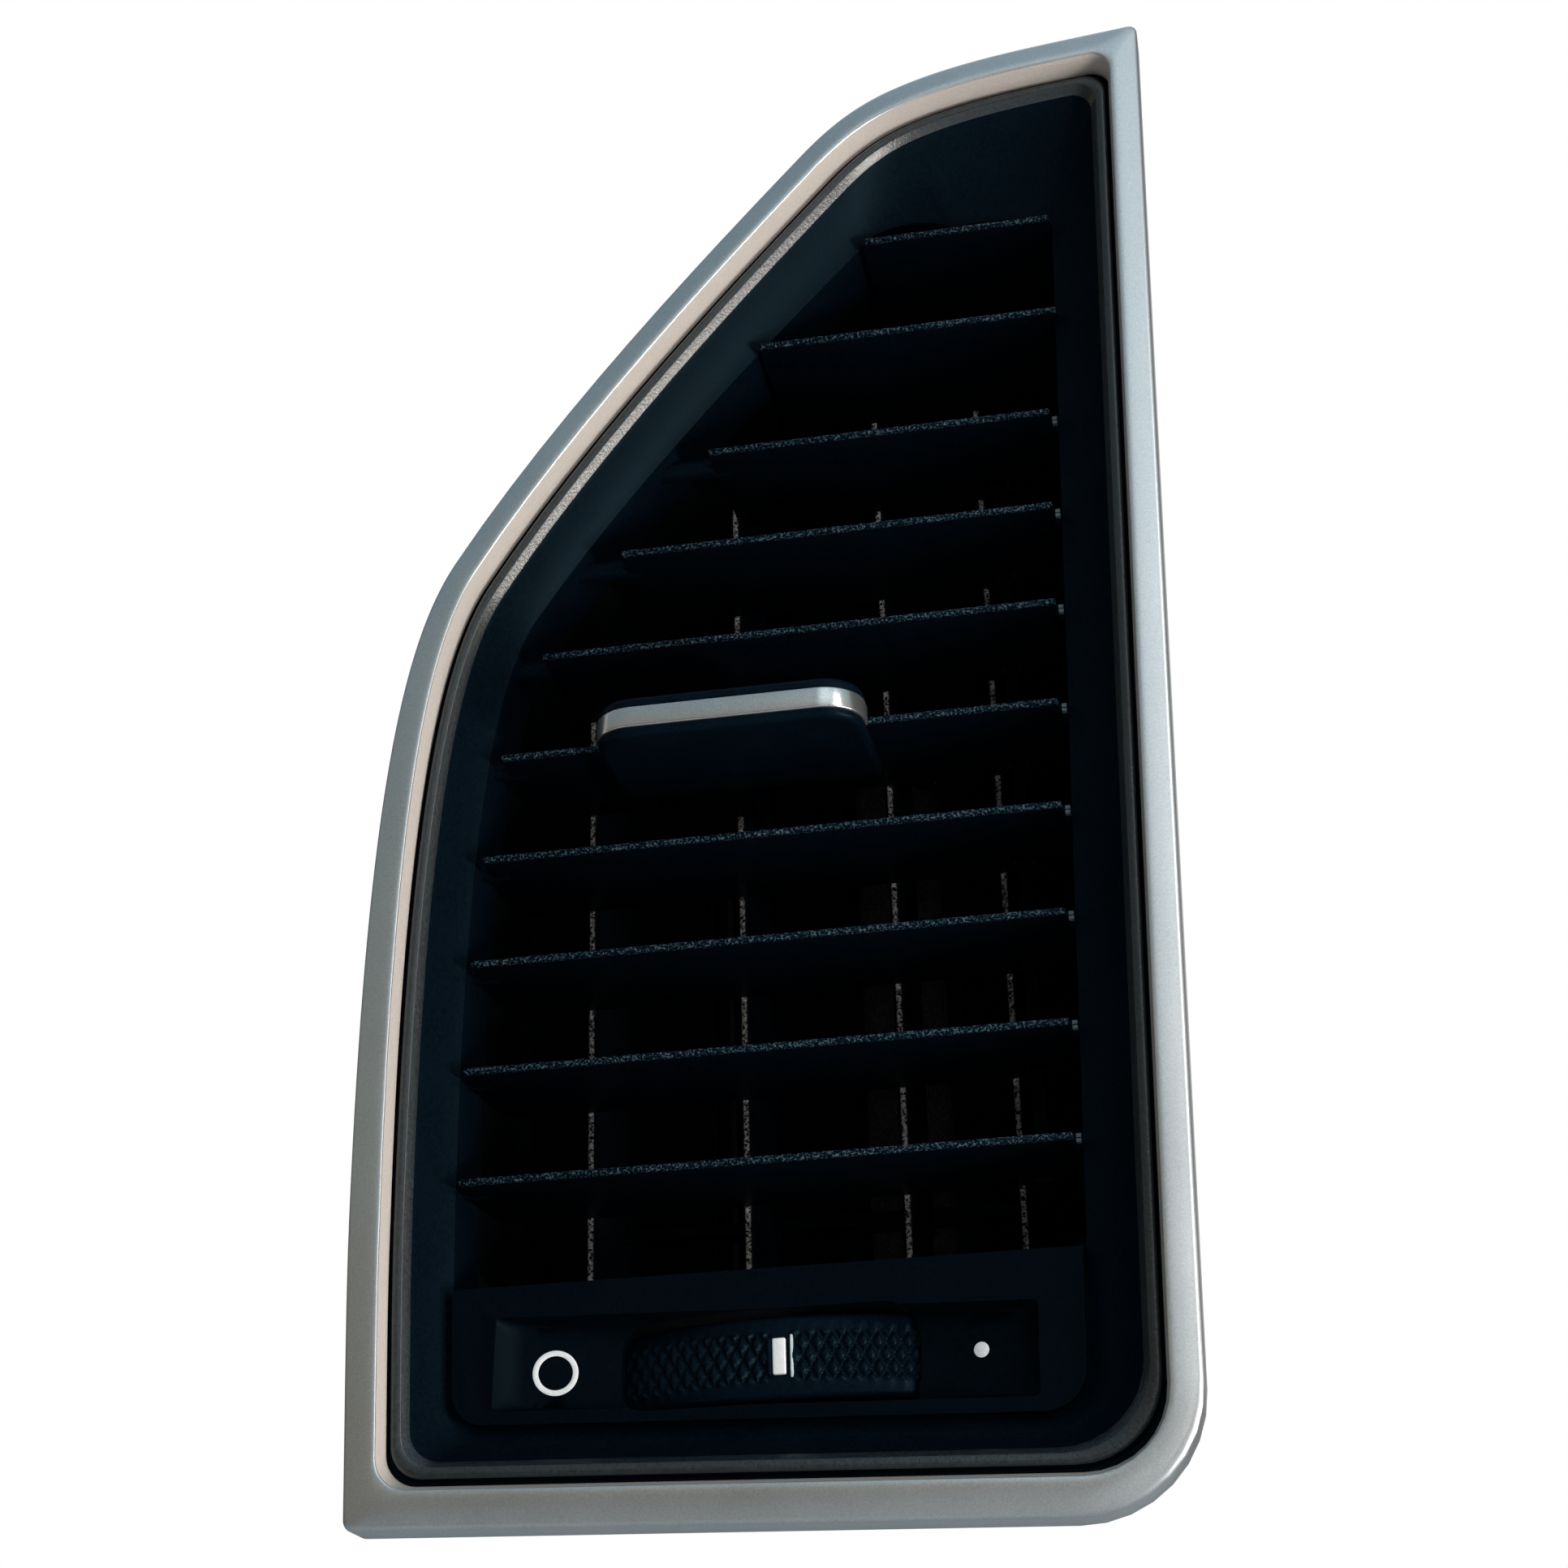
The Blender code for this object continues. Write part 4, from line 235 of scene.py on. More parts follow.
class VentSizes(bpy.types.PropertyGroup):
    """Sizes of the fine pieces that a user may change."""

    trim_crown: bpy.props.FloatProperty(
        name="Trim crown", description="How far the trim ring's outer edge falls back from its inner edge",
        default=0.0005, min=0.0, max=0.001, unit="LENGTH", precision=5)
    slat_nose: bpy.props.FloatProperty(
        name="Slat nose", description="Thickness of a slat at its front edge",
        default=0.0009, min=0.0005, max=0.0012, unit="LENGTH", precision=5)
    knurl_depth: bpy.props.FloatProperty(
        name="Knurl depth", description="How far the wheel's diamonds stand out",
        default=0.0005, min=0.0001, max=0.0006, unit="LENGTH", precision=5)
    knurl_width: bpy.props.FloatProperty(
        name="Knurl width", description="Width of one diamond round the wheel",
        default=0.00175, min=0.001, max=0.003, unit="LENGTH", precision=5)
    knurl_rows: bpy.props.IntProperty(
        name="Knurl rows", description="Rows of diamonds up the wheel", default=2, min=1, max=8)
    ring_mark: bpy.props.FloatProperty(
        name="Ring mark", description="Outer width of the ring printed on the panel",
        default=0.0052, min=0.002, max=0.008, unit="LENGTH", precision=5)
    ring_stroke: bpy.props.FloatProperty(
        name="Ring stroke", description="Width of the printed ring's line",
        default=0.00064, min=0.0003, max=0.002, unit="LENGTH", precision=5)
    dot_mark: bpy.props.FloatProperty(
        name="Dot mark", description="Width of the dot printed on the panel",
        default=0.00175, min=0.0005, max=0.004, unit="LENGTH", precision=5)


class VentColours(bpy.types.PropertyGroup):
    """Colours of the finishes that a user may change."""

    silver: bpy.props.FloatVectorProperty(
        name="Silver", description="Satin paint of the trim ring and the knob's strip",
        subtype="COLOR", size=3, min=0.0, max=1.0, default=(0.52, 0.545, 0.56))
    black: bpy.props.FloatVectorProperty(
        name="Black", description="Grained black of the shroud, slats, knob and panel",
        subtype="COLOR", size=3, min=0.0, max=1.0, default=(0.0011, 0.0035, 0.0068))
    dark: bpy.props.FloatVectorProperty(
        name="Dark plastic", description="Plain black of the duct and links",
        subtype="COLOR", size=3, min=0.0, max=1.0, default=(0.0014, 0.0019, 0.0024))
    white: bpy.props.FloatVectorProperty(
        name="White", description="Printed marks and the wheel's marker",
        subtype="COLOR", size=3, min=0.0, max=1.0, default=(0.82, 0.84, 0.86))
    steel: bpy.props.FloatVectorProperty(
        name="Steel", description="Clips, screws and the wheel's axle",
        subtype="COLOR", size=3, min=0.0, max=1.0, default=(0.46, 0.47, 0.48))
    foam: bpy.props.FloatVectorProperty(
        name="Foam", description="Gasket and flap seals",
        subtype="COLOR", size=3, min=0.0, max=1.0, default=(0.045, 0.045, 0.048))


class VentStage(bpy.types.PropertyGroup):
    """Studio round the vent."""

    floor_height: bpy.props.FloatProperty(
        name="Floor height", description="Height of the pale floor", default=-0.20, unit="LENGTH")
    side_power: bpy.props.FloatProperty(
        name="Side light", description="Power of the soft light at the right", default=2.6, unit="POWER")
    fill_power: bpy.props.FloatProperty(
        name="Fill light", description="Power of the low soft light at the right", default=2.5, unit="POWER")
    front_power: bpy.props.FloatProperty(
        name="Front light", description="Power of the soft light below the camera", default=0.8, unit="POWER")
    top_power: bpy.props.FloatProperty(
        name="Top light", description="Power of the soft light above", default=0.35, unit="POWER")
    world_strength: bpy.props.FloatProperty(
        name="Surroundings", description="Strength of the studio's walls", default=1.0, min=0.0)


def crossing(point_a, heading_a, point_b, heading_b):
    """Crossing of two lines, each given by a point and a heading vector."""
    cross = heading_a.x * heading_b.y - heading_a.y * heading_b.x
    apart = point_b - point_a
    along = (apart.x * heading_b.y - apart.y * heading_b.x) / cross
    return point_a + heading_a * along


def left_of(heading):
    """Vector that points to the left of a heading, into an anticlockwise outline."""
    return Vector((-heading.y, heading.x))


def arc(centre, radius, start, end, steps):
    """Points of an arc between two angles."""
    points = []
    for step in range(steps + 1):
        angle = math.radians(start + (end - start) * step / steps)
        points.append(Vector((centre[0] + radius * math.cos(angle), centre[1] + radius * math.sin(angle))))
    return points


def corner_arc(corner, heading_in, heading_out, radius):
    """Arc that rounds a corner between two headings."""
    turn = heading_in.angle_signed(heading_out)
    reach = radius * math.tan(abs(turn) / 2)
    start = corner - heading_in * reach
    centre = start + left_of(heading_in) * radius
    first = math.degrees(math.atan2(start.y - centre.y, start.x - centre.x))
    return arc(centre, radius, first, first + math.degrees(abs(turn)), CORNER_STEPS)


def spaced(path, steps):
    """Points at even distances along a path."""
    lengths = [(b - a).length for a, b in zip(path, path[1:])]
    total = sum(lengths)
    points = [path[0]]
    for step in range(1, steps):
        left = total * step / steps
        place = 0
        while left > lengths[place]:
            left -= lengths[place]
            place += 1
        points.append(path[place].lerp(path[place + 1], left / lengths[place]))
    return points + [path[-1]]


def face_curve():
    """Points, headings and knot shares of the long curve from the top right to the bottom left corner."""
    half = Vector((WIDTH / 2, HEIGHT / 2))
    points = []
    shares = []
    for index, steps in enumerate(KNOT_STEPS):
        knot = OUTLINE_KNOTS[index]
        after = OUTLINE_KNOTS[index + 1]
        start = Vector((knot[0] * half.x, knot[1] * half.y))
        end = Vector((after[0] * half.x, after[1] * half.y))
        out = math.radians(knot[2])
        into = math.radians(after[2])
        handle_a = start + Vector((math.cos(out), math.sin(out))) * knot[4]
        handle_b = end - Vector((math.cos(into), math.sin(into))) * after[3]
        made = geometry.interpolate_bezier(start, handle_a, handle_b, end, steps + 1)
        for step in range(steps + (index == len(KNOT_STEPS) - 1)):
            points.append(Vector(made[step]))
            shares.append(index + step / steps)
    headings = []
    for index in range(len(points)):
        before = points[max(index - 1, 0)]
        after = points[min(index + 1, len(points) - 1)]
        headings.append((after - before).normalized())
    return points, headings, shares


FACE_POINTS, FACE_HEADINGS, FACE_SHARES = face_curve()
FACE_CORNER = [Vector((BOTTOM_RIGHT[0] * WIDTH / 2, BOTTOM_RIGHT[1] * HEIGHT / 2))]


def outline(curve, right, bottom, corners):
    """Face outline moved inwards along each side, as (x, z) points, anticlockwise from the front.

    The curve's inset is one value, or one for each knot. The corners are the top right, bottom left
    and bottom right radii.
    """
    insets = curve if isinstance(curve, tuple) else (curve,) * len(OUTLINE_KNOTS)
    moved = []
    for point, heading, share in zip(FACE_POINTS, FACE_HEADINGS, FACE_SHARES):
        knot = min(int(share), len(insets) - 2)
        inset = insets[knot] + (insets[knot + 1] - insets[knot]) * (share - knot)
        moved.append(point + left_of(heading) * inset)
    top_right = FACE_POINTS[0]
    bottom_left = FACE_POINTS[-1]
    bottom_right = FACE_CORNER[0]
    along_bottom = (bottom_right - bottom_left).normalized()
    along_right = (top_right - bottom_right).normalized()
    bottom_start = bottom_left + left_of(along_bottom) * bottom
    right_start = bottom_right + left_of(along_right) * right
    inward = left_of(along_right)
    first = next(i for i, point in enumerate(moved) if (point - right_start).dot(inward) > 0)
    start = max(first, 1)
    along_top = (moved[start] - moved[start - 1]).normalized()
    inward = left_of(along_bottom)
    final = max(i for i, point in enumerate(moved) if (point - bottom_start).dot(inward) > 0)
    end = min(final, len(moved) - 2)
    along_left = (moved[end + 1] - moved[end]).normalized()
    corner_a = crossing(right_start, along_right, moved[start], along_top)
    corner_c = crossing(moved[end], along_left, bottom_start, along_bottom)
    corner_b = crossing(bottom_start, along_bottom, right_start, along_right)
    arc_a = corner_arc(corner_a, along_right, along_top, corners[0])
    arc_c = corner_arc(corner_c, along_left, along_bottom, corners[1])
    arc_b = corner_arc(corner_b, along_bottom, along_right, corners[2])
    shoulder = KNOT_STEPS[0]
    widest = len(moved) - 1 - KNOT_STEPS[-1]
    clear_a = (arc_a[-1] - corner_a).length + 0.0002
    clear_c = (arc_c[0] - corner_c).length + 0.0002
    upper = [p for p in moved[first:shoulder] if (p - corner_a).length > clear_a]
    lower = [p for p in moved[widest + 1:final + 1] if (p - corner_c).length > clear_c]
    points = arc_a + spaced([arc_a[-1]] + upper + [moved[shoulder]], shoulder)[1:]
    points += moved[shoulder + 1:widest]
    points += spaced([moved[widest]] + lower + [arc_c[0]], KNOT_STEPS[-1])[:-1] + arc_c
    points += [arc_c[-1].lerp(arc_b[0], step / EDGE_STEPS) for step in range(1, EDGE_STEPS)]
    points += arc_b
    points += [arc_b[-1].lerp(arc_a[0], step / EDGE_STEPS) for step in range(1, EDGE_STEPS)]
    return points


def fit_face():
    """Bring the outline, whose corners are rounded, to the full width and height about the origin."""
    points = outline(0.0, 0.0, 0.0, TRIM_CORNERS)
    across = [point.x for point in points]
    up = [point.y for point in points]
    middle = Vector((max(across) + min(across), max(up) + min(up))) / 2
    scale = Vector((WIDTH / (max(across) - min(across)), HEIGHT / (max(up) - min(up))))
    for point in FACE_POINTS + FACE_CORNER:
        point -= middle
        point *= scale


fit_face()


def trim_outline(inset, corners):
    """Outline of the trim ring, whose lower bar is wider than its sides."""
    share = min(max(inset / TRIM_FACE, 0.0), 1.0)
    return outline(inset, inset, inset + TRIM_BOTTOM_EXTRA * share, corners)


def face_outline(inset, share, corners):
    """Outline of the ring's visible face, which is wider at the left than on the diagonal."""
    curve = tuple(inset + extra * share for extra in FACE_EXTRA)
    return outline(curve, inset + FACE_RIGHT_EXTRA * share, inset + FACE_BOTTOM_EXTRA * share, corners)


def throat_outline(outset=0.0):
    """Outline of the shroud's throat, moved outwards."""
    curve = tuple(inset - outset for inset in THROAT_CURVE)
    corners = tuple(max(radius + min(outset, WALL) * 0.5, 0.0008) for radius in THROAT_CORNERS)
    return outline(curve, THROAT_RIGHT - outset, THROAT_BOTTOM - outset, corners)


def ring(points, y):
    """Outline set at a depth."""
    return [Vector((point.x, y, point.y)) for point in points]


def blend(ring_a, ring_b, share, y):
    """Ring between two rings, set at a depth."""
    return [Vector((a.x + (b.x - a.x) * share, y, a.z + (b.z - a.z) * share)) for a, b in zip(ring_a, ring_b)]


def ring_corners(share):
    """Corner radii of the trim ring, from its outer edge to its inner one."""
    return tuple(a + (b - a) * share for a, b in zip(TRIM_CORNERS, TRIM_INNER_CORNERS))


def span_at(points, z):
    """Left and right X where an outline crosses a height."""
    found = []
    for index, point in enumerate(points):
        after = points[(index + 1) % len(points)]
        if (point.y - z) * (after.y - z) < 0:
            found.append(point.x + (after.x - point.x) * (z - point.y) / (after.y - point.y))
    return min(found), max(found)


def skin(bm, rings, around=False, second=range(0)):
    """Cover rings of equal counts with a net of faces, and close it on itself round the last ring too.

    The strips whose first ring is in the second range take the piece's second finish.
    """
    rows = list(rings) + ([rings[0]] if around else [])
    rows = [list(row) + [row[0]] for row in rows]
    wide = len(rows[0]) - 1
    tall = len(rows) - 1
    made = bmesh.ops.create_grid(bm, x_segments=wide, y_segments=tall, size=1.0)
    if second:
        for face in {face for vert in made["verts"] for face in vert.link_faces}:
            row = int((face.calc_center_median().y + 1.0) / 2.0 * tall)
            face.material_index = int(row in second)
    for vert in made["verts"]:
        column = round((vert.co.x + 1.0) / 2.0 * wide)
        row = round((vert.co.y + 1.0) / 2.0 * tall)
        vert.co = rows[row][column]
    bmesh.ops.remove_doubles(bm, verts=made["verts"], dist=0.0000005)
    return [vert for vert in made["verts"] if vert.is_valid]


def close_ends(bm):
    """Fill every open end."""
    open_edges = [edge for edge in bm.edges if edge.is_boundary]
    if open_edges:
        bmesh.ops.holes_fill(bm, edges=open_edges, sides=0)


def object_from(name, bm, smooth_angle=32.0):
    """Turn a bmesh into a linked object at the origin, with its round faces smooth."""
    bmesh.ops.recalc_face_normals(bm, faces=bm.faces)
    mesh = bpy.data.meshes.new(name)
    bm.to_mesh(mesh)
    bm.free()
    obj = bpy.data.objects.new(name, mesh)
    bpy.context.scene.collection.objects.link(obj)
    mesh.shade_smooth()
    mesh.set_sharp_from_angle(angle=math.radians(smooth_angle))
    return obj


def add_box(bm, low, high):
    """Add a box between two corners."""
    low = Vector(low)
    high = Vector(high)
    made = bmesh.ops.create_cube(bm, size=1.0)
    bmesh.ops.scale(bm, vec=high - low, verts=made["verts"])
    bmesh.ops.translate(bm, vec=(low + high) / 2, verts=made["verts"])
    return made["verts"]


def add_rod(bm, start, end, radius, segments=24):
    """Add a round rod between two points."""
    start = Vector(start)
    end = Vector(end)
    along = end - start
    made = bmesh.ops.create_cone(bm, cap_ends=True, segments=segments, radius1=radius, radius2=radius,
                                 depth=along.length)
    turn = Vector((0.0, 0.0, 1.0)).rotation_difference(along.normalized()).to_matrix()
    bmesh.ops.rotate(bm, cent=(0.0, 0.0, 0.0), matrix=turn, verts=made["verts"])
    bmesh.ops.translate(bm, vec=(start + end) / 2, verts=made["verts"])
    return made["verts"]


def add_prism(bm, points, axis, start, end):
    """Add a flat outline extruded along an axis. The points are (y, z), (x, z) or (x, y)."""
    places = {
        "X": lambda p: (start, p[0], p[1]),
        "Y": lambda p: (p[0], start, p[1]),
        "Z": lambda p: (p[0], p[1], start),
    }
    steps = {"X": Vector((1, 0, 0)), "Y": Vector((0, 1, 0)), "Z": Vector((0, 0, 1))}
    face = bm.faces.new([bm.verts.new(places[axis](point)) for point in points])
    made = bmesh.ops.extrude_face_region(bm, geom=[face])
    moved = [item for item in made["geom"] if isinstance(item, bmesh.types.BMVert)]
    bmesh.ops.translate(bm, vec=steps[axis] * (end - start), verts=moved)


def carve(obj, bm, operation="DIFFERENCE"):
    """Cut a shape from a piece, or join or cross it, and keep only the result."""
    bmesh.ops.recalc_face_normals(bm, faces=bm.faces)
    mesh = bpy.data.meshes.new("tool")
    bm.to_mesh(mesh)
    bm.free()
    tool = bpy.data.objects.new("tool", mesh)
    bpy.context.scene.collection.objects.link(tool)
    modifier = obj.modifiers.new("carve", "BOOLEAN")
    modifier.operation = operation
    modifier.solver = "EXACT"
    modifier.object = tool
    bpy.context.view_layer.update()
    result = bpy.data.meshes.new_from_object(obj.evaluated_get(bpy.context.evaluated_depsgraph_get()))
    obj.modifiers.remove(modifier)
    old = obj.data
    obj.data = result
    result.name = obj.name
    bpy.data.meshes.remove(old)
    bpy.data.objects.remove(tool)
    bpy.data.meshes.remove(mesh)
    if not result.polygons:
        raise RuntimeError(f"{obj.name} has no faces after it was carved")


def cut_box(obj, low, high):
    """Cut a box from a piece."""
    tool = bmesh.new()
    add_box(tool, low, high)
    carve(obj, tool)


def cut_prism(obj, points, axis, start, end, operation="DIFFERENCE"):
    """Cut an extruded outline from a piece, or keep only what they share."""
    tool = bmesh.new()
    add_prism(tool, points, axis, start, end)
    carve(obj, tool, operation)


def smooth(obj, angle):
    """Shade a piece's round faces smooth."""
    obj.data.shade_smooth()
    obj.data.set_sharp_from_angle(angle=math.radians(angle))


def join_rods(obj, *rods):
    """Add rods to a piece, each given by its ends, its radius and, where they are few, its sides."""
    bm = bmesh.new()
    bm.from_mesh(obj.data)
    for rod in rods:
        add_rod(bm, *rod)
    bm.to_mesh(obj.data)
    bm.free()
    smooth(obj, 45.0)


def round_box(bm, verts, offset, segments):
    """Round every edge of a box."""
    edges = list({edge for vert in verts for edge in vert.link_edges})
    bmesh.ops.bevel(bm, geom=edges, offset=offset, offset_type="OFFSET", segments=segments, profile=0.5,
                    affect="EDGES", material=-1)


def swept(name, rings, angle):
    """Closed piece that runs through rings."""
    bm = bmesh.new()
    skin(bm, rings)
    close_ends(bm)
    return object_from(name, bm, angle)


def soften(obj, width, segments, angle):
    """Round the sharp edges of a piece with a modifier that stays on it."""
    modifier = obj.modifiers.new("soft_edges", "BEVEL")
    modifier.width = width
    modifier.segments = segments
    modifier.limit_method = "ANGLE"
    modifier.angle_limit = math.radians(angle)
    modifier.harden_normals = False
    smooth(obj, 50.0)


def place(obj, body, material, slot, *nodes):
    """Give a piece its finish and its body, and hide the solids that it stands for. The slot is not used."""
    if obj.data.materials:
        obj.data.materials.clear()
    for finish in material if isinstance(material, tuple) else (material,):
        obj.data.materials.append(finish)
    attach(obj, body)
    if nodes:
        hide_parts(*nodes)
    return obj


class Nodes:
    """Small builder of shader nodes."""

    def __init__(self, tree):
        self.nodes = tree.nodes
        self.links = tree.links

    def feed(self, socket, value):
        """Set a socket to a colour or a number, or link it."""
        if isinstance(value, tuple):
            socket.default_value = (*value, 1.0)
        elif isinstance(value, (int, float)):
            socket.default_value = value
        else:
            self.links.new(value, socket)

    def ramp(self, source, stops):
        """Colours along a value."""
        node = self.nodes.new("ShaderNodeValToRGB")
        while len(node.color_ramp.elements) < len(stops):
            node.color_ramp.elements.new(0.5)
        for element, (position, colour) in zip(node.color_ramp.elements, stops):
            element.position = position
            element.color = (*colour, 1.0)
        self.links.new(source, node.inputs["Fac"])
        return node.outputs["Color"]

    def math(self, operation, first, second):
        """Sum, product or larger of two values."""
        node = self.nodes.new("ShaderNodeMath")
        node.operation = operation
        self.feed(node.inputs[0], first)
        self.feed(node.inputs[1], second)
        return node.outputs["Value"]

    def weighed(self, first, share, second, rest):
        """Sum of two values, each times its share."""
        return self.math("ADD", self.math("MULTIPLY", first, share), self.math("MULTIPLY", second, rest))

    def mix(self, factor, first, second):
        """Mix two colours by a factor."""
        node = self.nodes.new("ShaderNodeMix")
        node.data_type = "RGBA"
        for place_in, value in ((0, factor), (6, first), (7, second)):
            self.feed(node.inputs[place_in], value)
        return node.outputs[2]

    def axes(self, source):
        """X, Y and Z of a place or direction."""
        node = self.nodes.new("ShaderNodeSeparateXYZ")
        self.links.new(source, node.inputs["Vector"])
        return node.outputs

    def between(self, source, low, high, kind="SMOOTHSTEP"):
        """Share of the way that a value has come from low to high."""
        node = self.nodes.new("ShaderNodeMapRange")
        node.interpolation_type = kind
        node.inputs["From Min"].default_value = low
        node.inputs["From Max"].default_value = high
        self.links.new(source, node.inputs["Value"])
        return node.outputs["Result"]


class Finish(Nodes):
    """Small builder of a procedural material round one Principled shader."""

    def __init__(self, name):
        self.material = bpy.data.materials.new(name)
        self.material.use_nodes = True
        super().__init__(self.material.node_tree)
        self.shader = self.nodes["Principled BSDF"]
        self.place = self.nodes.new("ShaderNodeTexCoord").outputs["Object"]

    def set(self, **values):
        """Set the shader's own values."""
        for name, value in values.items():
            self.shader.inputs[name.replace("_", " ")].default_value = value

    def noise(self, scale, detail, roughness, stretch=None):
        """Noise at a scale, stretched along the axes if wanted."""
        texture = self.nodes.new("ShaderNodeTexNoise")
        texture.inputs["Scale"].default_value = scale
        texture.inputs["Detail"].default_value = detail
        texture.inputs["Roughness"].default_value = roughness
        source = self.place
        if stretch:
            mapping = self.nodes.new("ShaderNodeMapping")
            mapping.inputs["Scale"].default_value = stretch
            self.links.new(self.place, mapping.inputs["Vector"])
            source = mapping.outputs["Vector"]
        self.links.new(source, texture.inputs["Vector"])
        return texture.outputs["Fac"]

    def cells(self, scale):
        """Rounded cells at a scale."""
        texture = self.nodes.new("ShaderNodeTexVoronoi")
        texture.inputs["Scale"].default_value = scale
        self.links.new(self.place, texture.inputs["Vector"])
        return texture.outputs["Distance"]

    def tones(self, source, colour, *stops):
        """Tones of one colour along a value, each stop a position and a factor."""
        return self.ramp(source, [(position, scaled(colour, factor)) for position, factor in stops])

    def colour(self, source):
        """Drive the base colour."""
        self.links.new(source, self.shader.inputs["Base Color"])

    def rough(self, source, low, high):
        """Drive the roughness between two values."""
        node = self.nodes.new("ShaderNodeMapRange")
        node.inputs["To Min"].default_value = low
        node.inputs["To Max"].default_value = high
        self.links.new(source, node.inputs["Value"])
        self.links.new(node.outputs["Result"], self.shader.inputs["Roughness"])

    def bump(self, source, strength, distance):
        """Raise the surface a little by a value."""
        node = self.nodes.new("ShaderNodeBump")
        node.inputs["Strength"].default_value = strength
        node.inputs["Distance"].default_value = distance
        self.links.new(source, node.inputs["Height"])
        self.links.new(node.outputs["Normal"], self.shader.inputs["Normal"])


def scaled(colour, factor):
    """Colour times a factor, kept in range."""
    return tuple(min(max(value * factor, 0.0), 1.0) for value in colour)


def silver_paint(name, roughness=0.34):
    """Satin silver paint with fine flakes."""
    colour = tuple(bpy.context.scene.vent_colours.silver)
    finish = Finish(name)
    finish.set(Metallic=0.9, IOR=1.5)
    flakes = finish.noise(5200.0, 2.0, 0.5)
    cloud = finish.noise(90.0, 2.0, 0.5)
    tone = finish.weighed(flakes, 0.8, cloud, 0.2)
    finish.colour(finish.tones(tone, colour, (0.28, 0.84), (0.72, 1.12)))
    finish.rough(cloud, roughness - 0.03, roughness + 0.04)
    finish.bump(flakes, 0.16, 0.00003)
    return finish.material


def lit_wall_paint(name):
    """Paler, less metallic copy of the ring's satin paint for its inner wall; its pale warm tone is painted
    light, the light from below that falls on the wall.
    """
    finish = Finish(name)
    finish.set(Metallic=0.15, IOR=1.5)
    flakes = finish.noise(5200.0, 2.0, 0.5)
    # Painted light: the pale warm tone stands for light from below on the ring's inner wall
    finish.colour(finish.ramp(flakes, ((0.28, (0.50, 0.455, 0.42)), (0.72, (0.62, 0.57, 0.53)))))
    finish.rough(flakes, 0.36, 0.44)
    finish.bump(flakes, 0.16, 0.00003)
    return finish.material


def rim_highlight_black(name):
    """Glossier copy of the shroud's black for its rolled rim, with a coarser grain and a paler blue-grey tone
    that is painted highlight.
    """
    finish = Finish(name)
    finish.set(IOR=1.5, Specular_IOR_Level=0.7)
    grain = finish.noise(2600.0, 2.0, 0.7)
    # Painted highlight: the paler blue-grey base colour stands for the rim's highlight
    finish.colour(finish.ramp(grain, ((0.35, (0.003, 0.006, 0.008)), (0.70, (0.012, 0.020, 0.025)))))
    finish.rough(grain, 0.27, 0.38)
    finish.bump(grain, 0.45, 0.00009)
    return finish.material


def grained_black(name, factor, roughness, grain=2300.0, depth=0.00005):
    """Moulded black plastic with a fine grain and a slight cool sheen."""
    colour = tuple(bpy.context.scene.vent_colours.black)
    finish = Finish(name)
    finish.set(IOR=1.5, Specular_IOR_Level=0.05, Specular_Tint=(0.40, 0.80, 1.0, 1.0))
    fine = finish.noise(grain, 3.0, 0.62)
    broad = finish.noise(140.0, 2.0, 0.5)
    tone = finish.weighed(fine, 0.75, broad, 0.25)
    finish.colour(finish.tones(tone, colour, (0.30, 0.55 * factor), (0.70, 1.6 * factor)))
    finish.rough(fine, roughness - 0.07, roughness + 0.09)
    finish.bump(fine, 0.55, depth)
    return finish


def plain_plastic(name, colour, roughness):
    """Plain moulded plastic with faint flow marks."""
    finish = Finish(name)
    finish.set(Specular_IOR_Level=0.06, Specular_Tint=(0.40, 0.80, 1.0, 1.0))
    fine = finish.noise(1500.0, 3.0, 0.6)
    flow = finish.noise(60.0, 3.0, 0.55, (1.0, 1.0, 0.35))
    finish.colour(finish.tones(finish.weighed(fine, 0.4, flow, 0.6), colour, (0.30, 0.65), (0.70, 1.45)))
    finish.rough(flow, roughness - 0.08, roughness + 0.08)
    finish.bump(fine, 0.35, 0.00004)
    return finish.material


def highlight_flecked_black(name, roughness, grain, edge, flecks, share, pale):
    """Grained black whose front edge carries a painted highlight: a paler colour in flecks.

    The edge is the Y where the painted highlight starts and where it is full. The flecks are their scale and
    the levels of their noise between which they fade in.
    """
    finish = grained_black(name, 1.0, roughness, grain)
    colour = tuple(bpy.context.scene.vent_colours.black)
    front = finish.between(finish.axes(finish.place)["Y"], *edge)
    spots = finish.between(finish.noise(flecks[0], 2.0, 0.7), flecks[1], flecks[2])
    base = finish.tones(finish.noise(grain, 3.0, 0.62), colour, (0.3, 0.55), (0.7, 1.6))
    # Painted highlight: pale flecks along the front edge stand for the light that the edge catches
    highlight_share = finish.math("MULTIPLY", finish.math("MULTIPLY", front, spots), share)
    finish.colour(finish.mix(highlight_share, base, pale))
    return finish.material


def slat_finish():
    """Black of the slats, whose front edges carry a painted highlight in pale flecks."""
    nose = PIVOT_Y - SLAT_NOSE_AHEAD
    return highlight_flecked_black("slat_black", 0.42, 2600.0, (nose + 0.0007, nose + 0.0001),
                          (3300.0, 0.50, 0.66), 0.8, (0.085, 0.15, 0.19))


def upright_finish(nose):
    """Black of the upright vanes, whose front edges carry a painted highlight, a pale colour in flecks."""
    return highlight_flecked_black("upright_vane_black", 0.66, 2400.0, (nose + 0.00012, nose + 0.00002),
                          (3000.0, 0.40, 0.60), 1.0, (0.50, 0.48, 0.46))


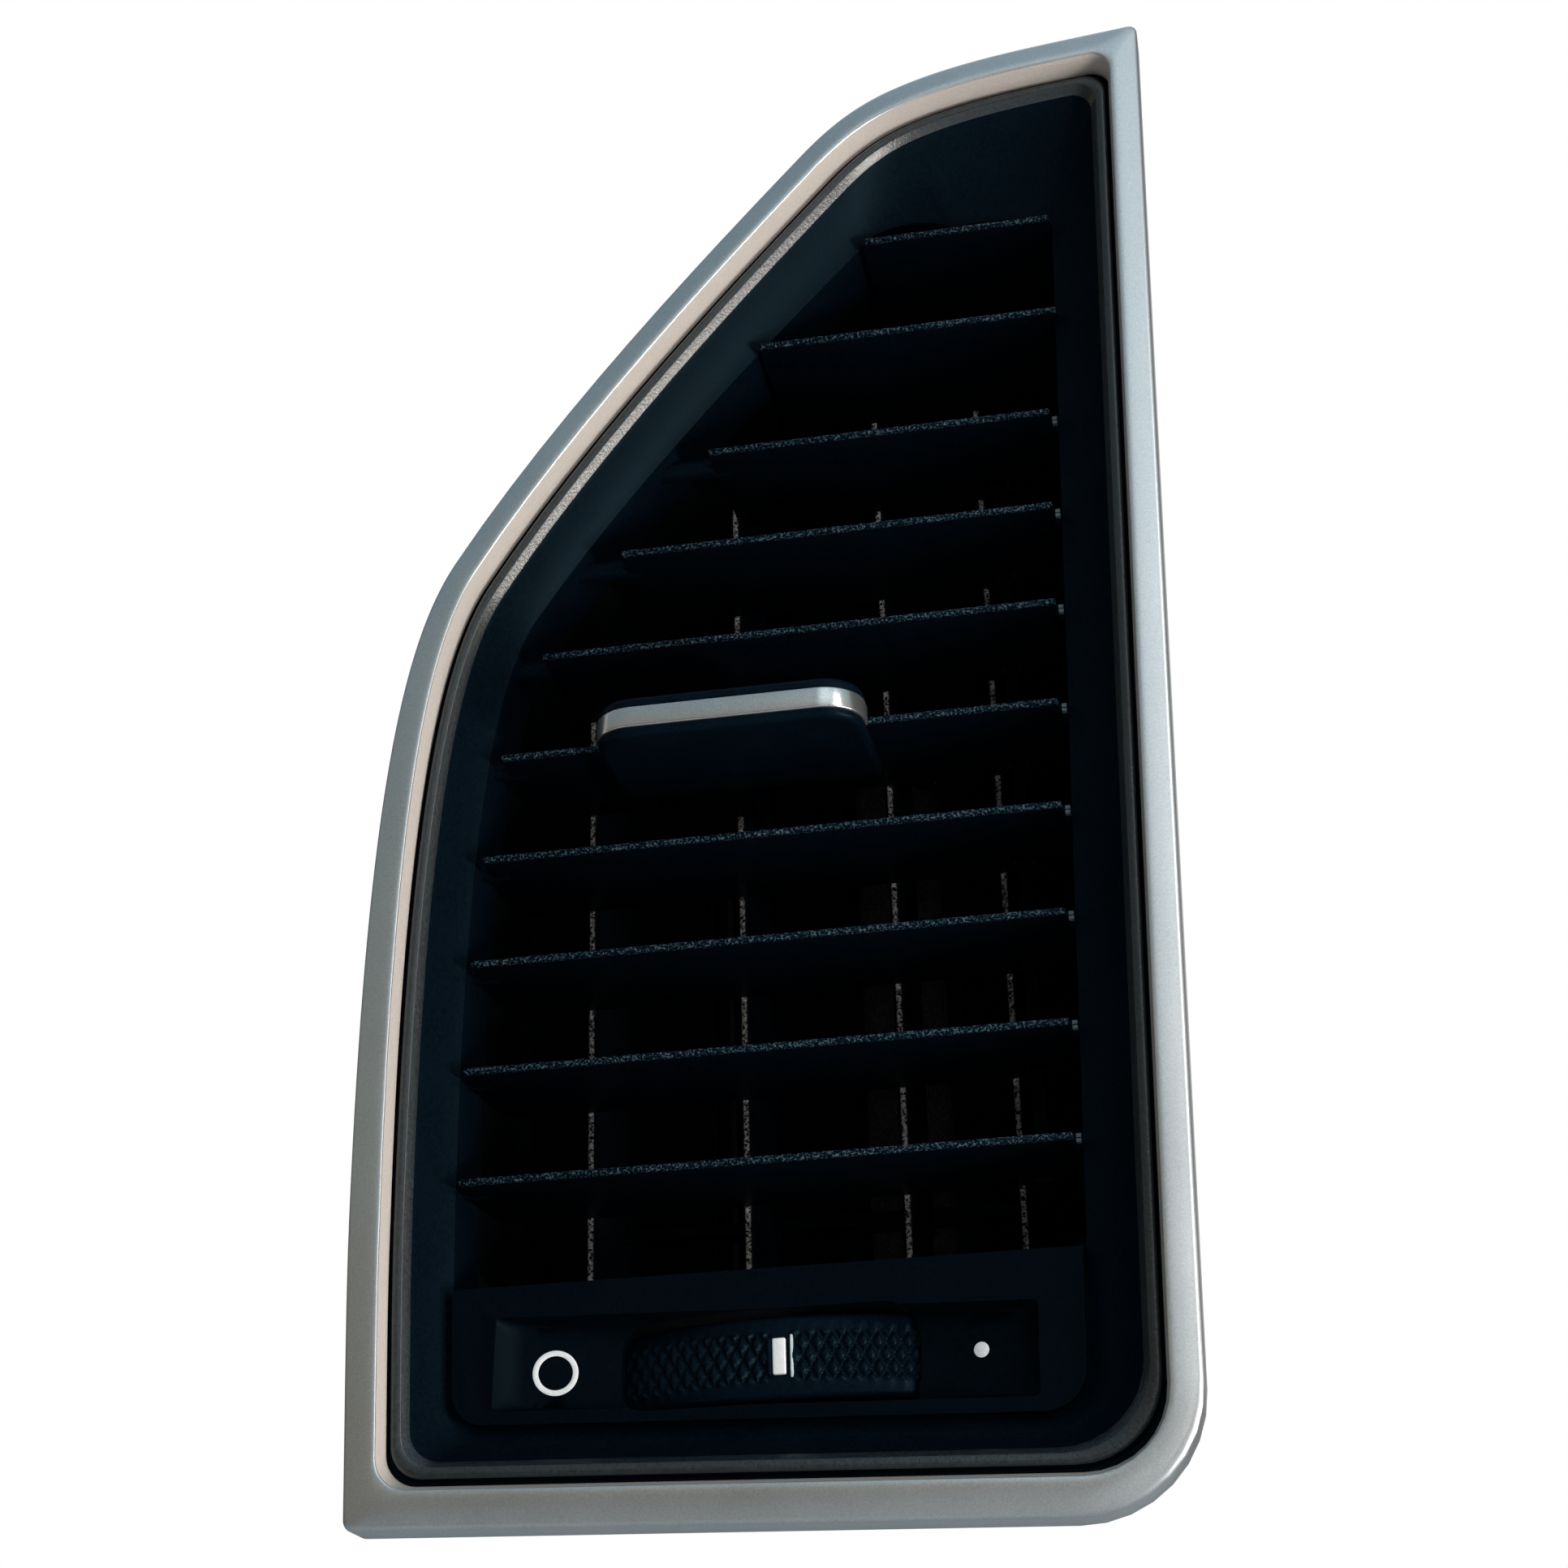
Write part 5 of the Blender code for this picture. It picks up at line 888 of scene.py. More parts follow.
def white_print(name, roughness=0.42):
    """White print or white moulded plastic with a faint mottle."""
    colour = tuple(bpy.context.scene.vent_colours.white)
    finish = Finish(name)
    fine = finish.noise(2600.0, 2.0, 0.5)
    finish.colour(finish.tones(fine, colour, (0.3, 0.9), (0.7, 1.0)))
    finish.rough(fine, roughness - 0.04, roughness + 0.06)
    finish.bump(fine, 0.12, 0.00002)
    return finish.material


def bright_steel(name):
    """Bright steel with a drawn grain."""
    colour = tuple(bpy.context.scene.vent_colours.steel)
    finish = Finish(name)
    finish.set(Metallic=1.0)
    drawn = finish.noise(1200.0, 4.0, 0.6, (1.0, 0.06, 1.0))
    finish.colour(finish.tones(drawn, colour, (0.3, 0.8), (0.7, 1.2)))
    finish.rough(drawn, 0.24, 0.42)
    finish.bump(drawn, 0.2, 0.00003)
    return finish.material


def soft_foam(name):
    """Open foam with small cells."""
    colour = tuple(bpy.context.scene.vent_colours.foam)
    finish = Finish(name)
    finish.set(Specular_IOR_Level=0.2)
    cells = finish.cells(1900.0)
    broad = finish.noise(300.0, 3.0, 0.6)
    finish.colour(finish.tones(finish.weighed(cells, 0.8, broad, 0.3), colour, (0.1, 0.45), (0.8, 1.5)))
    finish.rough(broad, 0.88, 0.98)
    finish.bump(cells, 0.8, 0.0002)
    return finish.material


class VentOperator(bpy.types.Operator):
    """Base of the operators that make the vent's pieces."""

    bl_options = {"REGISTER", "UNDO"}


class VENT_OT_trim_ring(VentOperator):
    """Make the satin silver trim ring"""

    bl_idname = "vent.trim_ring"
    bl_label = "Trim ring"

    def execute(self, context):
        """Sweep the ring's section round the outline."""
        crown = context.scene.vent_sizes.trim_crown
        back = FRONT + TRIM_THICKNESS
        lip = FRONT + TRIM_LIP
        skirt = SEAT_Y - 0.0001
        stations = []
        for step in range(5):
            angle = math.radians(90.0 * step / 4)
            stations.append((FACE_ROUND * (1 - math.cos(angle)),
                             FRONT + crown + FACE_ROUND * (1 - math.sin(angle)), 0.0))
        face_end = FACE_EDGE - 0.0002
        for step in range(1, 11):
            share = step / 10
            depth = crown * (1 - share) ** 1.5 + FACE_DIP * share ** 6
            stations.append((FACE_ROUND + (face_end - FACE_ROUND) * share, FRONT + depth, share))
        first, last = FACE_ROLL_TURN
        for step in range(1, 5):
            angle = math.radians(first + (last - first) * step / 4)
            stations.append((face_end + FACE_ROLL * math.sin(angle),
                             FRONT + FACE_DIP + FACE_ROLL * (1 - math.cos(angle)), 1.0))
        wall = len(stations) - 1
        stations += [(FACE_EDGE + inset, FRONT + depth, 1.0) for inset, depth in RING_WALL]
        rings = [ring(face_outline(inset, share, ring_corners(share)), y) for inset, y, share in stations]
        for inset, y, share in ((TRIM_FACE + 0.0006, lip, 1.0), (TRIM_FACE - 0.0001, lip, 1.0),
                                (TRIM_FACE - 0.0003, back, 1.0), (RING_BACK_INSET, back, 0.0),
                                (RING_BACK_INSET, skirt, 0.0), (SKIRT_EDGE, skirt, 0.0),
                                (0.0, skirt - SKIRT_EDGE, 0.0)):
            rings.append(ring(trim_outline(inset, ring_corners(share)), y))
        bm = bmesh.new()
        skin(bm, rings, around=True, second=range(wall, wall + 4))
        obj = object_from("trim_ring_fine", bm, 40.0)
        # The inner wall takes a paler copy of the paint, with painted light
        paints = (silver_paint("satin_silver_paint"), lit_wall_paint("ring_wall_paint"))
        place(obj, "vent", paints, "satin_silver", "trim_bezel")
        return {"FINISHED"}


def blade_section(nose_y, nose_z, tilt, nose, grow):
    """Closed section of a slat as (y, z) points: a round nose, a fuller middle and a thin round tail."""
    half = nose / 2
    upper = []
    for step in range(6):
        angle = math.radians(90.0 * step / 5)
        upper.append((half * (1 - math.cos(angle)), half * math.sin(angle)))
    full = SLAT_THICKNESS / 2
    tail = SLAT_CHORD - SLAT_TAIL
    upper += [(0.0025, half * 0.6 + full * 0.4), (0.0060, full), (0.0120, full), (tail, half)]
    for step in range(1, 5):
        angle = math.radians(90.0 - 90.0 * step / 4)
        upper.append((tail + SLAT_TAIL * math.cos(angle), half * math.sin(angle)))
    lower = [(along, -rise) for along, rise in upper[-2:0:-1]]
    turn = math.radians(tilt)
    middle = SLAT_CHORD / 2
    points = []
    for along, rise in upper + lower:
        along = middle + (along - middle) * (1 - grow / middle)
        rise = rise * (1 - grow / half)
        points.append((nose_y + along * math.cos(turn) - rise * math.sin(turn),
                       nose_z + along * math.sin(turn) + rise * math.cos(turn)))
    return points


def add_blade(bm, left, right, nose_y, nose_z, tilt, nose):
    """Add a slat's blade with softly rounded ends."""
    rings = []
    ends = ((0.0, 0.00018), (0.00006, 0.00007), (0.00022, 0.0))
    stations = [(left + along, grow) for along, grow in ends] + [((left + right) / 2, 0.0)]
    stations += [(right - along, grow) for along, grow in ends[::-1]]
    for x, grow in stations:
        rings.append([Vector((x, y, z)) for y, z in blade_section(nose_y, nose_z, tilt, nose, grow)])
    skin(bm, rings)
    close_ends(bm)


class VENT_OT_front_shroud(VentOperator):
    """Make the black funnel shroud with its rolled rim and the two fixed slats"""

    bl_idname = "vent.front_shroud"
    bl_label = "Front shroud"

    def execute(self, context):
        """Sweep the funnel from the flange to the rear joint and add the fixed slats."""
        inner = TRIM_INNER_CORNERS
        step_y = FRONT + TRIM_LIP + GAP
        throat = throat_outline()
        throat_ring = ring(throat, THROAT_Y)
        rings = [
            ring(trim_outline(FLANGE_INSET, TRIM_CORNERS), FLANGE_FRONT),
            ring(trim_outline(TRIM_FACE - 0.0006, inner), FLANGE_FRONT),
            ring(trim_outline(TRIM_FACE - 0.0005, inner), step_y),
            ring(trim_outline(RIM_INSET - 0.0002, inner), step_y),
        ]
        roll = len(rings)
        section = list(RIM_ROLL)
        last_inset, last_depth = section[-1]
        first = math.radians(RIM_TURN[0])
        for step in range(1, 5):
            turn = math.radians(RIM_TURN[0] + (RIM_TURN[1] - RIM_TURN[0]) * step / 4)
            inset = last_inset + RIM_ROUND * (math.sin(turn) - math.sin(first))
            depth = last_depth + RIM_ROUND * (math.cos(first) - math.cos(turn))
            section.append((inset, depth))
        for share in (0.5, 1.0):
            section.append((inset + RIM_CHAMFER[0] * share, depth + RIM_CHAMFER[1] * share))
        for inset, depth in section:
            rings.append(ring(trim_outline(RIM_INSET + inset, inner), FLANGE_FRONT + depth))
        chamfer = len(rings) - 1
        rim_end = rings[-1]
        start_y = rim_end[0].y
        for step in range(1, 11):
            share = step / 11
            rise = 1.45 * share - 0.45 * share * share
            rings.append(blend(rim_end, throat_ring, share, start_y + (THROAT_Y - start_y) * rise))
        joint_front = SHROUD_REAR - JOINT_FLANGE_THICKNESS
        outer_throat = throat_outline(WALL)
        joint = throat_outline(WALL + JOINT_FLANGE)
        rings += [
            throat_ring,
            ring(throat, THROAT_Y + 0.0012),
            ring(throat, SHROUD_REAR),
            ring(joint, SHROUD_REAR),
            ring(joint, joint_front),
            ring(outer_throat, joint_front),
            ring(outer_throat, THROAT_Y + 0.0004),
            ring(trim_outline(RIM_INSET + 0.0005, inner), SEAT_Y),
            ring(trim_outline(FLANGE_INSET, TRIM_CORNERS), SEAT_Y),
        ]
        bm = bmesh.new()
        # The rolled rim takes the glossier black with the painted highlight
        skin(bm, rings, around=True, second=range(roll, chamfer))
        self.stop_rib(bm)
        nose = context.scene.vent_sizes.slat_nose
        roof = max(point.y for point in throat)
        for z in (roof - ROOF_GAP, roof - ROOF_GAP - FIXED_SLAT_PITCH):
            left, right = span_at(throat, z + SLAT_THICKNESS / 2)
            made = set(bm.faces)
            add_blade(bm, left - FIXED_SLAT_BITE, right + FIXED_SLAT_BITE, PIVOT_Y - SLAT_NOSE_AHEAD, z, 0.0,
                      nose)
            for face in set(bm.faces) - made:
                face.material_index = 2
        obj = object_from("front_shroud_fine", bm, 38.0)
        blacks = (grained_black("shroud_black", 1.0, 0.44).material, rim_highlight_black("rim_black"), slat_finish())
        place(obj, "vent", blacks, "black_plastic", "front_shroud")
        return {"FINISHED"}

    @staticmethod
    def stop_rib(bm):
        """Add the low rib behind the panel's edge that stops it and closes its gap."""
        behind = PANEL_Y + PANEL_THICKNESS + GAP
        beyond = throat_outline(0.0004)
        within = throat_outline(-0.0011)
        rings = []
        for outer, inner in zip(beyond, within):
            if outer.y < PANEL_TOP - PANEL_THICKNESS - 0.0004:
                rings.append([Vector((p.x, y, p.y)) for p, y in (
                    (outer, behind), (inner, behind), (inner, behind + 0.0010), (outer, behind + 0.0010))])
        skin(bm, rings)
        close_ends(bm)


class VENT_OT_slats(VentOperator):
    """Make the eight turning slats with their pins"""

    bl_idname = "vent.slats"
    bl_label = "Turning slats"

    def execute(self, context):
        """Shape each slat between the ends of its solid, then cut its link notch."""
        nose = context.scene.vent_sizes.slat_nose
        material = slat_finish()
        pale = plain_plastic("pale_pin", (0.20, 0.25, 0.27), 0.4)
        link_low, link_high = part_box("slat_link")
        link_x = (link_low.x + link_high.x) / 2
        link_y = PIVOT_Y + LINK_ARM
        notch = LINK_NOTCH_WIDTH / 2
        fork_low, fork_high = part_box("knob_fork")
        fork_x = (fork_low.x + fork_high.x) / 2
        fork_half = (fork_high.x - fork_low.x) / 2 + KNOB_TRAVEL + 0.0007
        fork_y = KNOB_HIGH.y - 0.0005
        throat = throat_outline()
        droop = math.radians(SLAT_DROOP)
        for name in SLATS:
            low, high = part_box(name)
            z = self.pivot_of(name)
            left, right = self.reach(throat, z)
            bm = bmesh.new()
            nose_z = z - SLAT_DROP - SLAT_NOSE_AHEAD * math.sin(droop)
            add_blade(bm, left, right, PIVOT_Y - SLAT_NOSE_AHEAD, nose_z, SLAT_DROOP, nose)
            obj = object_from(f"{name}_fine", bm, 45.0)
            cut_box(obj, (link_x - notch, link_y - LINK_WIDTH / 2 - 0.0007, z - 0.01),
                    (link_x + notch, link_y + 0.02, z + 0.01))
            if name == KNOB_SLAT:
                cut_box(obj, (fork_x - fork_half, fork_y, z - 0.01),
                        (fork_x + fork_half, fork_y + 0.05, z + 0.01))
            link_z = z - SLAT_DROP + LINK_ARM * math.sin(droop)
            join_rods(
                obj,
                ((low.x, PIVOT_Y, z), (left + PIN_OVERLAP, PIVOT_Y, z), SLAT_PIN_RADIUS),
                ((right - PIN_OVERLAP, PIVOT_Y, z), (high.x, PIVOT_Y, z), SLAT_PIN_RADIUS),
                ((link_x - notch - 0.001, link_y, link_z), (link_x + notch + 0.001, link_y, link_z),
                 LINK_PIN_RADIUS, 16))
            place(obj, f"{name}_body", material, "black_plastic", name)
            mark = self.pin_mark(f"{name}_pin_mark", right, z)
            place(mark, f"{name}_body", pale, "black_plastic")
        return {"FINISHED"}

    @staticmethod
    def pin_mark(name, right, z):
        """Four small pale squares where a slat's right pin meets its blade."""
        bm = bmesh.new()
        y = PIVOT_Y - SLAT_PIN_RADIUS
        half = PIN_MARK_HALF
        for side in (-PIN_MARK_SPREAD, PIN_MARK_SPREAD):
            for rise in (-PIN_MARK_SPREAD, PIN_MARK_SPREAD):
                add_box(bm, (right + 0.00010, y + side - half, z + rise - half),
                        (right + 0.00070, y + side + half, z + rise + half))
        return object_from(name, bm, 40.0)

    @staticmethod
    def pivot_of(name):
        """Height of a slat's pins."""
        for joint in frame["record"]["behaviour"]["joints"]:
            if joint["name"] == f"{name}_tilt":
                return joint["pos_m"][2]
        raise RuntimeError(f"{name} has no joint")

    @staticmethod
    def reach(throat, z):
        """Ends of a turning slat, which clears the leaning walls over its whole swing."""
        swing = (SLAT_CHORD - SLAT_NOSE_AHEAD) * math.sin(math.radians(SLAT_TILT + SLAT_DROOP))
        spans = [span_at(throat, z + swing * step / 4) for step in range(-4, 5)]
        return max(span[0] for span in spans) + SLAT_END_GAP, min(span[1] for span in spans) - SLAT_END_GAP


def knob_plan(inset, rear):
    """Plan of the knob as (x, y) points with round front corners."""
    half = KNOB_WIDTH / 2 - inset
    front = KNOB_LOW.y + inset
    radius = KNOB_CORNER - inset
    left = arc((KNOB_X - half + radius, front + radius), radius, 180.0, 270.0, 14)
    right = arc((KNOB_X + half - radius, front + radius), radius, 270.0, 360.0, 14)
    return [Vector((KNOB_X - half, rear))] + left + right + [Vector((KNOB_X + half, rear))]


class VENT_OT_knob(VentOperator):
    """Make the sliding knob and its silver strip"""

    bl_idname = "vent.knob"
    bl_label = "Knob"

    def execute(self, context):
        """Stack the body's rounded plans, cut its slot and recess, then sweep the strip."""
        rear = KNOB_HIGH.y
        rings = []
        for z, sign in ((KNOB_LOW.z, 1.0), (KNOB_HIGH.z, -1.0)):
            levels = []
            for step in range(6):
                angle = math.radians(90.0 * step / 5)
                inset = KNOB_EDGE * (1 - math.sin(angle))
                level = z + sign * KNOB_EDGE * (1 - math.cos(angle))
                levels.append([Vector((p.x, p.y, level)) for p in knob_plan(inset, rear - inset * 0.5)])
            rings += levels if sign > 0 else levels[::-1]
        body = swept("knob_body_fine", rings, 40.0)
        droop = math.radians(SLAT_DROOP)
        room = SLAT_THICKNESS / 2 + GAP
        nose_y = PIVOT_Y - SLAT_NOSE_AHEAD - KNOB_SLOT_AHEAD
        nose_z = KNOB_Z - SLAT_DROP - (SLAT_NOSE_AHEAD + KNOB_SLOT_AHEAD) * math.sin(droop)
        tail_y = rear + 0.002
        tail_z = KNOB_Z - SLAT_DROP + (tail_y - PIVOT_Y) * math.sin(droop)
        slot = [(nose_y, nose_z - room), (tail_y, tail_z - room),
                (tail_y, tail_z + room), (nose_y, nose_z + room)]
        cut_prism(body, slot, "X", KNOB_X - KNOB_WIDTH, KNOB_X + KNOB_WIDTH)
        strip_z = KNOB_Z - STRIP_DROP
        strip_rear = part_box("knob_trim")[1].y
        half = STRIP_HEIGHT / 2
        recess = knob_plan(-0.0010, strip_rear + GAP) + knob_plan(STRIP_WALL + GAP, strip_rear + GAP)[::-1]
        cut_prism(body, recess, "Z", strip_z - half - 0.00012, strip_z + half + 0.00012)
        smooth(body, 40.0)
        black = grained_black("knob_black", 1.2, 0.36, 2800.0).material
        place(body, "knob", black, "black_plastic", "knob_body")
        section = []
        front = STRIP_EDGE - STRIP_PROUD
        back = STRIP_WALL - STRIP_EDGE
        rise = half - STRIP_EDGE
        for inset, z, start in ((front, -rise, 180.0), (back, -rise, 270.0),
                                (back, rise, 0.0), (front, rise, 90.0)):
            section += arc((inset, z), STRIP_EDGE, start, start + 90.0, 4)
        plans = [knob_plan(point.x, strip_rear) for point in section]
        rings = []
        for station in range(len(plans[0])):
            rings.append([Vector((plan[station].x, plan[station].y, strip_z + point.y))
                          for plan, point in zip(plans, section)])
        strip = swept("knob_strip_fine", rings, 50.0)
        place(strip, "knob", silver_paint("strip_silver", 0.24), "satin_silver", "knob_trim")
        return {"FINISHED"}


class VENT_OT_side_vanes(VentOperator):
    """Make the four upright vanes behind the slats"""

    bl_idname = "vent.side_vanes"
    bl_label = "Upright vanes"

    def execute(self, context):
        """Stack each vane's rounded plan, cut its notch and window, then add its pins."""
        link_low, link_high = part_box("side_link")
        link_z = (link_low.z + link_high.z) / 2
        joints = {joint["name"]: joint["pos_m"] for joint in frame["record"]["behaviour"]["joints"]
                  if "pos_m" in joint}
        material = upright_finish(joints[f"{SIDE_VANES[0]}_swing"][1] - SIDE_VANE_AHEAD)
        for name in SIDE_VANES:
            low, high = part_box(name)
            x, pivot_y, _ = joints[f"{name}_swing"]
            nose = pivot_y - SIDE_VANE_AHEAD
            bottom = low.z + SIDE_PIN_BELOW
            top = high.z - SIDE_PIN_ABOVE
            section = self.plan(x, nose)
            rings = [[Vector((px, py, z)) for px, py in section] for z in (bottom, (bottom + top) / 2, top)]
            obj = swept(f"{name}_fine", rings, 45.0)
            link_y = pivot_y + SIDE_LINK_ARM
            notch = LINK_NOTCH_WIDTH / 2
            cut_box(obj, (x - 0.005, link_y - LINK_WIDTH / 2 - 0.0009, link_z - notch),
                    (x + 0.005, link_y + 0.02, link_z + notch))
            rods = [
                ((x, pivot_y, top - PIN_OVERLAP), (x, pivot_y, high.z), SIDE_PIN_RADIUS),
                ((x, pivot_y, low.z), (x, pivot_y, bottom + PIN_OVERLAP), SIDE_PIN_RADIUS),
                ((x, link_y, link_z - notch - 0.001), (x, link_y, link_z + notch + 0.001),
                 LINK_PIN_RADIUS, 16),
            ]
            if name == FORKED_VANE:
                cut_box(obj, (x - 0.005, nose - 0.001, KNOB_Z - FORK_WINDOW_HALF),
                        (x + 0.005, pivot_y - 0.0030, KNOB_Z + FORK_WINDOW_HALF))
                bar_y = pivot_y - FORK_BAR_ARM
                reach = FORK_WINDOW_HALF + 0.001
                rods.append(((x, bar_y, KNOB_Z - reach), (x, bar_y, KNOB_Z + reach), FORK_BAR_RADIUS))
            join_rods(obj, *rods)
            place(obj, f"{name}_body", material, "black_plastic", name)
        return {"FINISHED"}

    @staticmethod
    def plan(x, nose):
        """Plan of a vane as (x, y) points, with a round nose and a thin tail."""
        half = SIDE_VANE_THICKNESS / 2
        tail = nose + SIDE_VANE_CHORD
        upper = []
        for step in range(6):
            angle = math.radians(90.0 * step / 5)
            upper.append((nose + half * 0.9 * (1 - math.cos(angle)), half * math.sin(angle)))
        upper += [(tail - 0.003, half)]
        for step in range(4):
            angle = math.radians(90.0 * step / 3)
            upper.append((tail - SIDE_VANE_TAIL * (1 - math.sin(angle)),
                          half * 0.5 * math.cos(angle) + 0.00001))
        return [(x - rise, y) for y, rise in upper] + [(x + rise, y) for y, rise in upper[::-1]]


def dish_span():
    """Left and right ends of the dish."""
    left, right = span_at(throat_outline(), WHEEL_Z)
    return left + DISH_FROM_LEFT, right - DISH_FROM_RIGHT


def dish_depth(x):
    """How far the dish's floor lies behind the panel's face."""
    left, right = dish_span()
    share = 2 * (x - left) / (right - left) - 1
    return DISH_END_DEPTH + (DISH_DEPTH - DISH_END_DEPTH) * max(1 - share * share, 0.0)


def dish_points(grow):
    """Plan of the dish as (x, y) points: round ends and a floor that is deepest at the wheel."""
    left, right = dish_span()
    steps = 40
    points = [(left - grow, PANEL_Y - 0.001 + grow)]
    for step in range(steps + 1):
        share = 2 * step / steps - 1
        depth = DISH_END_DEPTH + (DISH_DEPTH - DISH_END_DEPTH) * (1 - share * share)
        points.append((left - grow + (right - left + 2 * grow) * step / steps, PANEL_Y + depth + grow))
    return points + [(right + grow, PANEL_Y - 0.001 + grow)]


def slanted(bm):
    """Turn a shape about the dish's middle so that it follows the vent's sloping lower edge."""
    left, right = dish_span()
    turn = Matrix.Rotation(math.radians(DISH_SLANT), 3, "Y")
    bmesh.ops.rotate(bm, cent=((left + right) / 2, PANEL_Y, WHEEL_Z), matrix=turn, verts=bm.verts)
    return bm


class VENT_OT_control_panel(VentOperator):
    """Make the dished panel below the slats with its printed ring and dot"""

    bl_idname = "vent.control_panel"
    bl_label = "Control panel"

    def execute(self, context):
        """Cut the panel to the throat, hollow its dish and slot, then lay the marks on it."""
        shelf = PANEL_TOP - PANEL_THICKNESS
        back = PANEL_Y + PANEL_THICKNESS
        bm = bmesh.new()
        add_prism(bm, [(PANEL_Y, -HEIGHT), (back, -HEIGHT), (back, shelf), (SHROUD_REAR, shelf),
                       (SHROUD_REAR, PANEL_TOP), (PANEL_Y, PANEL_TOP)], "X", -WIDTH, WIDTH)
        panel = object_from("control_panel_fine", bm)
        half = DISH_HEIGHT / 2
        wall = PANEL_THICKNESS - 0.0002
        tool = bmesh.new()
        add_prism(tool, dish_points(wall), "Z", WHEEL_Z - half - wall, WHEEL_Z + half + wall)
        carve(panel, slanted(tool), "UNION")
        cut_prism(panel, throat_outline(-GAP), "Y", PANEL_Y - 0.002, SHROUD_REAR + 0.002, "INTERSECT")
        tool = bmesh.new()
        self.hollow(tool)
        carve(panel, slanted(tool))
        tool = bmesh.new()
        add_rod(tool, (WHEEL_X, WHEEL_Y, WHEEL_Z - SLOT_HEIGHT / 2 - 0.0001),
                (WHEEL_X, WHEEL_Y, WHEEL_Z + SLOT_HEIGHT / 2 + 0.0001), WHEEL_RADIUS + 0.0004, 144)
        carve(panel, tool)
        slot = []
        for cx, cz, start in ((1, -1, -90.0), (1, 1, 0.0), (-1, 1, 90.0), (-1, -1, 180.0)):
            centre = (WHEEL_X + SLOT_SHIFT + cx * (SLOT_WIDTH / 2 - SLOT_CORNER),
                      WHEEL_Z + cz * (SLOT_HEIGHT / 2 - SLOT_CORNER))
            slot += arc(centre, SLOT_CORNER, start, start + 90.0, 8)
        cut_prism(panel, slot, "Y", PANEL_Y - 0.002, PANEL_Y + 0.012)
        soften(panel, 0.00028, 3, 38.0)
        black = grained_black("panel_black", 0.5, 0.48, 2100.0).material
        place(panel, "vent", black, "black_plastic", "control_panel")
        sizes = context.scene.vent_sizes
        white = white_print("printed_white")
        ring_radius = sizes.ring_mark / 2
        self.mark("printed_ring", *RING_PLACE, ring_radius, ring_radius - sizes.ring_stroke, white)
        self.mark("printed_dot", *DOT_PLACE, sizes.dot_mark / 2, 0.0, white)
        return {"FINISHED"}

    @staticmethod
    def hollow(bm):
        """Shape of the dish: soft sides that run into a floor which is deepest at the wheel."""
        left, right = dish_span()
        half = DISH_HEIGHT / 2
        steps = 10
        rings = []
        for level in range(-1, steps + 1):
            share = max(level, 0) / steps
            slope = 1 - math.sqrt(1 - (share * 0.999) ** 2)
            slope = 0.45 * share + 0.55 * slope if share < 1 else 1.0
            low_x = left + DISH_SIDES[0] * slope
            high_x = right - DISH_SIDES[1] * slope
            low_z = WHEEL_Z - half + DISH_SIDES[2] * slope
            high_z = WHEEL_Z + half - DISH_SIDES[2] * slope
            corner = 0.0006 + 0.0010 * share
            points = []
            low = (low_x + corner, low_z + corner)
            high = (high_x - corner, high_z - corner)
            for x, z, start in ((high[0], low[1], 270.0), (*high, 0.0),
                                (low[0], high[1], 90.0), (*low, 180.0)):
                points += arc((x, z), corner, start, start + 90.0, 5)
            outline_points = []
            for index, point in enumerate(points):
                after = points[(index + 1) % len(points)]
                along = 30 if abs(after.x - point.x) > 0.02 else 1
                outline_points += [point.lerp(after, part / along) for part in range(along)]
            front = -0.0010 if level < 0 else 0.0
            rings.append([Vector((p.x, PANEL_Y + front + dish_depth(p.x) * share, p.y))
                          for p in outline_points])
        for share in (0.6, 0.25, 0.0):
            rings.append([Vector((p.x, p.y, WHEEL_Z + (p.z - WHEEL_Z) * share)) for p in rings[steps + 1]])
        skin(bm, rings)
        close_ends(bm)

    @staticmethod
    def mark(name, x, z, outer, inner, material):
        """Lay a thin printed ring or dot on the dish's floor."""
        bm = bmesh.new()
        profile = [(outer, 0.0), (outer, 1.0), (outer - 0.00003, 2.0)]
        profile += [(inner + 0.00003, 2.0), (inner, 1.0), (inner, 0.0)] if inner else [(0.0, 2.0)]
        verts = [bm.verts.new((radius, 0.0, level)) for radius, level in profile]
        edges = [bm.edges.new((a, b)) for a, b in zip(verts, verts[1:])]
        if inner:
            edges.append(bm.edges.new((verts[-1], verts[0])))
        else:
            low = bm.verts.new((0.0, 0.0, 0.0))
            edges.append(bm.edges.new((low, verts[0])))
            verts.append(low)
        bmesh.ops.spin(bm, geom=verts + edges, cent=(0, 0, 0), axis=(0, 0, 1), dvec=(0, 0, 0),
                       angle=math.tau, steps=72, use_merge=True, use_duplicate=False)
        bmesh.ops.remove_doubles(bm, verts=bm.verts, dist=0.000001)
        for vert in bm.verts:
            proud = (-0.00004, 0.00001, 0.00003)[round(vert.co.z)]
            place_x = x + vert.co.x
            vert.co = (place_x, PANEL_Y + dish_depth(place_x) - proud, z + vert.co.y)
        obj = object_from(name, bm, 60.0)
        place(obj, "vent", material, "white_plastic")


def wheel_ring(angle, section):
    """Section of the wheel, as (radius, height) points, turned to an angle about its axle."""
    return [Vector((WHEEL_X + radius * math.cos(angle), WHEEL_Y + radius * math.sin(angle), WHEEL_Z + height))
            for radius, height in section]


